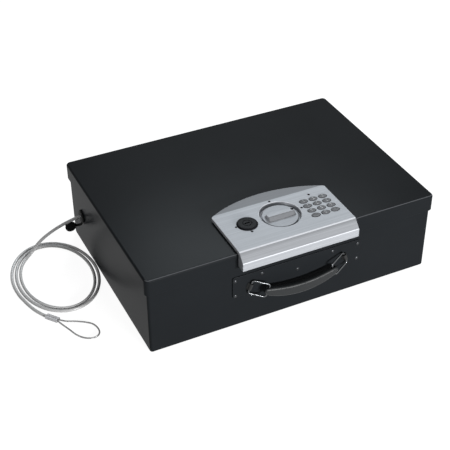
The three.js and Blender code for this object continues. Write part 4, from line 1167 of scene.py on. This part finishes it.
class SAFE_OT_keypad(bpy.types.Operator):
    """Makes the twelve domed keys with their digits, and the status light"""

    bl_idname = "safe.keypad"
    bl_label = "Keypad"

    def execute(self, context):
        crown = 0.45 * MM
        flange = CONSOLE_HIGH.z - 2.5 * MM
        stem_half = Vector((1.5 * MM, 1.5 * MM, 0))
        for (name, spot), legend in zip(key_spots(), LEGENDS):
            bottom = low(name).z
            top = high(name).z
            cap = oval(f"{name}_cap", spot, KEY_WIDTH, KEY_DEPTH, flange - 0.5 * MM, top - crown)
            bevel_level(cap, top - crown, 0.5 * MM, 3)
            self.dome(cap, crown)
            skirt = oval("skirt", spot, high(name).x - low(name).x, high(name).y - low(name).y,
                         flange - 1.3 * MM, flange)
            boolean(cap, skirt, "UNION")
            stem = block("stem", at(spot, bottom) - stem_half, at(spot, flange - 1 * MM) + stem_half)
            boolean(cap, stem, "UNION")
            number = name.split("_")[1]
            finished(cap, f"button_{number}", "key_plastic", name, angle=30)
            digit = self.digit(f"{name}_legend", legend, spot, top)
            finished(digit, f"button_{number}", "legend", slot="key_plastic")
        softened("status_lens", "status_led", "lid", "lens", 0.3 * MM, 3)
        return {"FINISHED"}

    def dome(self, cap, crown):
        """Raises the cap's flat top into a low dome by three insets."""
        pick_top(cap)
        for inset, rise in ((0.9 * MM, 0.6), (1.1 * MM, 0.3), (0.8 * MM, 0.1)):
            bpy.ops.mesh.inset(thickness=inset)
            bpy.ops.transform.translate(value=(0, 0, rise * crown))
        mode("OBJECT")

    def digit(self, name, legend, spot, top):
        """A printed character on the crown of a key."""
        select_none()
        bpy.ops.object.text_add(location=at(spot, top - 0.1 * MM))
        text = bpy.context.active_object
        text.data.body = legend
        text.data.size = 7 * MM
        text.data.extrude = 0.09 * MM
        text.data.align_x = "CENTER"
        text.data.align_y = "CENTER"
        text.data.resolution_u = 3
        bpy.ops.object.convert(target="MESH")
        return settled(name)


# The carrying handle

PULL = 5 * MM
PUSH = 3 * MM
RIVET_RISE = 1.2 * MM
GRIP_OUT = 11.1 * MM
GRIP_HALF_DEPTH = 4.5 * MM
GRIP_STATIONS = 32


class SAFE_OT_handle(bpy.types.Operator):
    """Makes the handle's plate, rivets, clips, wire rings and bowed grip"""

    bl_idname = "safe.handle"
    bl_label = "Handle"

    def execute(self, context):
        sizes = context.scene.safe_handle
        face = PLATE_LOW.y + RIVET_RISE
        plate = block("back_plate", (PLATE_LOW.x, face, PLATE_LOW.z), PLATE_HIGH)
        round_edges(plate, lambda a, b: abs(a.y - b.y) > 0.5 * MM, 3 * MM, 6)
        bevel(plate, 0.4 * MM, 3, 50)
        finished(plate, "case", "painted_steel", "handle_plate")
        self.rivets(face)
        for name, side in (("left", -1), ("right", 1)):
            self.ring(name, side, face, sizes)
            softened(f"clip_{name}", f"handle_clip_{name}", "case", "black_plastic", 0.25 * MM)
        self.grip(sizes, face)
        return {"FINISHED"}

    def rivets(self, face):
        head = in_mm((2.7, 0), (2.6, 0.3), (2.1, 0.75), (1.2, 1.08), (0, 1.2))
        spots = in_mm((-97, 81.8), (-56, 81.8), (56, 81.8), (97, 81.8), (0, 70), (-97, 55.8),
                      (97, 55.8))
        heads = [turned("head", head, (HANDLE_X + x, face, z), "-Y", 32) for x, z in spots]
        rivets = join("plate_rivets", heads)
        finished(rivets, "case", "rivet_steel", slot="bare_steel")

    def ring_place(self, side, face, sizes):
        """The middle of a ring's base bar, and the directions along it and in towards the grip."""
        along = Vector((-side * math.sin(sizes.tilt), 0, math.cos(sizes.tilt)))
        inward = Vector((-side * math.cos(sizes.tilt), 0, -math.sin(sizes.tilt)))
        base = Vector((HANDLE_X + side * sizes.ring_from_centre, face - sizes.ring_out,
                       sizes.ring_height))
        return base, along, inward

    def ring(self, name, side, face, sizes):
        """A wire loop with rounded corners, leaning and swung as the handle hangs."""
        base, along, inward = self.ring_place(side, face, sizes)
        arm = math.cos(sizes.swing) * inward + math.sin(sizes.swing) * Vector((0, -1, 0))
        half = sizes.ring_width / 2
        bend = sizes.bend
        corners = ((-1, bend), (1, bend), (1, sizes.ring_length - bend), (-1, sizes.ring_length - bend))
        path = []
        for index, (sign, reach) in enumerate(corners):
            centre = base + sign * (half - bend) * along + reach * arm
            path += [self.corner(centre, along, arm, index, step / 6, bend) for step in range(7)]
        wire = tube(f"ring_{name}", path, sizes.wire, closed=True)
        finished(wire, f"ring_{name}", "ring_steel", f"handle_ring_{name}", slot="bare_steel")

    def corner(self, centre, along, arm, index, share, bend):
        """A point on a rounded corner, of which there are four, a quarter turn each."""
        turn = math.pi / 2 * (index + share) + math.pi
        return centre + bend * (math.cos(turn) * along + math.sin(turn) * arm)

    def grip(self, sizes, face):
        """A bar that is deepest in its middle, bowed down and out."""
        half = GRIP_HIGH.x - HANDLE_X
        out = face - GRIP_OUT
        end_height = 12.5
        end_level = 59.5
        swell = 4.5
        sag = 10
        bulge = 3
        size = Vector((half, GRIP_HALF_DEPTH, end_height / 2 * MM))
        centre = Vector((HANDLE_X, out, 0))
        grip = block("grip", centre - size, centre + size)
        pick_edges(grip, lambda a, b: abs(a.x - b.x) > half)
        bpy.ops.mesh.subdivide(number_cuts=GRIP_STATIONS - 1)
        mode("OBJECT")
        for step in range(GRIP_STATIONS + 1):
            share = 2 * step / GRIP_STATIONS - 1
            bow = 1 - share * share
            x = HANDLE_X + share * half
            round_off = math.sqrt(max(0, 1 - abs(share) ** 14))
            tall = (end_height + swell * bow) / end_height * (0.3 + 0.7 * round_off)
            self.station(grip, x, out, tall, Vector((0, -bulge * bow, end_level - sag * bow)) * MM)
        bevel(grip, 3 * MM, 5, 40)
        for side in (-1, 1):
            self.slot(grip, side, sizes, face)
        bevel(grip, 0.3 * MM, 2, 50)
        finished(grip, "grip", "grip_plastic", "handle_grip", angle=35)

    def station(self, grip, x, out, tall, shift):
        """Scales and moves the ring of the grip's vertices at x."""
        pick(grip, "VERT", "vertices",
             lambda vertex: abs(vertex.co.x - x) < 0.1 * MM and abs(vertex.co.z) < 7 * MM)
        bpy.ops.transform.resize(value=(1, 1, tall), center_override=(x, out, 0))
        bpy.ops.transform.translate(value=shift)
        mode("OBJECT")

    def slot(self, grip, side, sizes, face):
        """The slot in an end of the grip that the ring's far bar slips in."""
        base, _, inward = self.ring_place(side, face, sizes)
        out = Vector((0, -1, 0))
        rise = math.sin(sizes.swing) * sizes.ring_length
        pulled = math.sqrt(sizes.ring_length ** 2 - (rise + PULL) ** 2)
        pushed = math.sqrt(sizes.ring_length ** 2 - (rise - PUSH) ** 2)
        half = sizes.wire + 0.5 * MM
        tall = sizes.ring_width / 2 + 4 * MM
        cutter = block("cutter", (pulled - half, rise - half, -tall),
                       (pushed + half, rise + half, tall))
        frame_turn = Matrix((inward, out, inward.cross(out))).transposed().to_4x4()
        cutter.data.transform(Matrix.Translation(base) @ frame_turn)
        use(cutter)
        mode("EDIT")
        face_outwards()
        boolean(grip, cutter)


# The works inside, which keep their CAD forms

KEPT = {
    "foam": ("floor_mat",),
    "black_plastic": ("lock_housing", "battery_door"),
    "cell": ("battery_1", "battery_2", "battery_3", "battery_4"),
    "board": ("keypad_board",),
    "bare_steel": ("strike_plate", "knob_cam", "latch_bolt", "solenoid_body", "solenoid_plunger",
                   "key_barrel", "key_cam", "cable_anchor"),
}


class SAFE_OT_works(bpy.types.Operator):
    """Gives the parts inside the lid and the case their finishes"""

    bl_idname = "safe.works"
    bl_label = "Works"

    def execute(self, context):
        for finish, nodes in KEPT.items():
            for node in nodes:
                obj = NODES[node]
                painted(obj, finish)
        return {"FINISHED"}


# The sidebar panel and the run

OPERATORS = (
    SAFE_OT_stage,
    SAFE_OT_cable,
    SAFE_OT_case,
    SAFE_OT_lid,
    SAFE_OT_hinges,
    SAFE_OT_console,
    SAFE_OT_knob,
    SAFE_OT_key_lock,
    SAFE_OT_keypad,
    SAFE_OT_handle,
    SAFE_OT_works,
)


class SAFE_PT_panel(bpy.types.Panel):
    """Lists the safe's sizes and the steps that build it"""

    bl_label = "Portable Car Safe"
    bl_idname = "SAFE_PT_panel"
    bl_space_type = "VIEW_3D"
    bl_region_type = "UI"
    bl_category = "Car Safe"

    def draw(self, context):
        for name in GROUPS:
            box = self.layout.box()
            group = getattr(context.scene, name)
            for key in group.bl_rna.properties.keys():
                if key not in ("rna_type", "name"):
                    box.prop(group, key)
        for operator in OPERATORS:
            self.layout.operator(operator.bl_idname)


def register():
    for cls in (*GROUPS.values(), *OPERATORS, SAFE_PT_panel):
        bpy.utils.register_class(cls)
    for name, cls in GROUPS.items():
        setattr(bpy.types.Scene, name, PointerProperty(type=cls))


def unregister():
    for name in GROUPS:
        delattr(bpy.types.Scene, name)
    for cls in reversed((*GROUPS.values(), *OPERATORS, SAFE_PT_panel)):
        bpy.utils.unregister_class(cls)


def corners(box):
    return [[round(value, 5) for value in corner] for corner in box]


def main():
    register()
    make_materials()
    for operator in OPERATORS:
        step = operator.bl_idname.split(".")[1]
        getattr(bpy.ops.safe, step)()


if __name__ == "__main__":
    main()
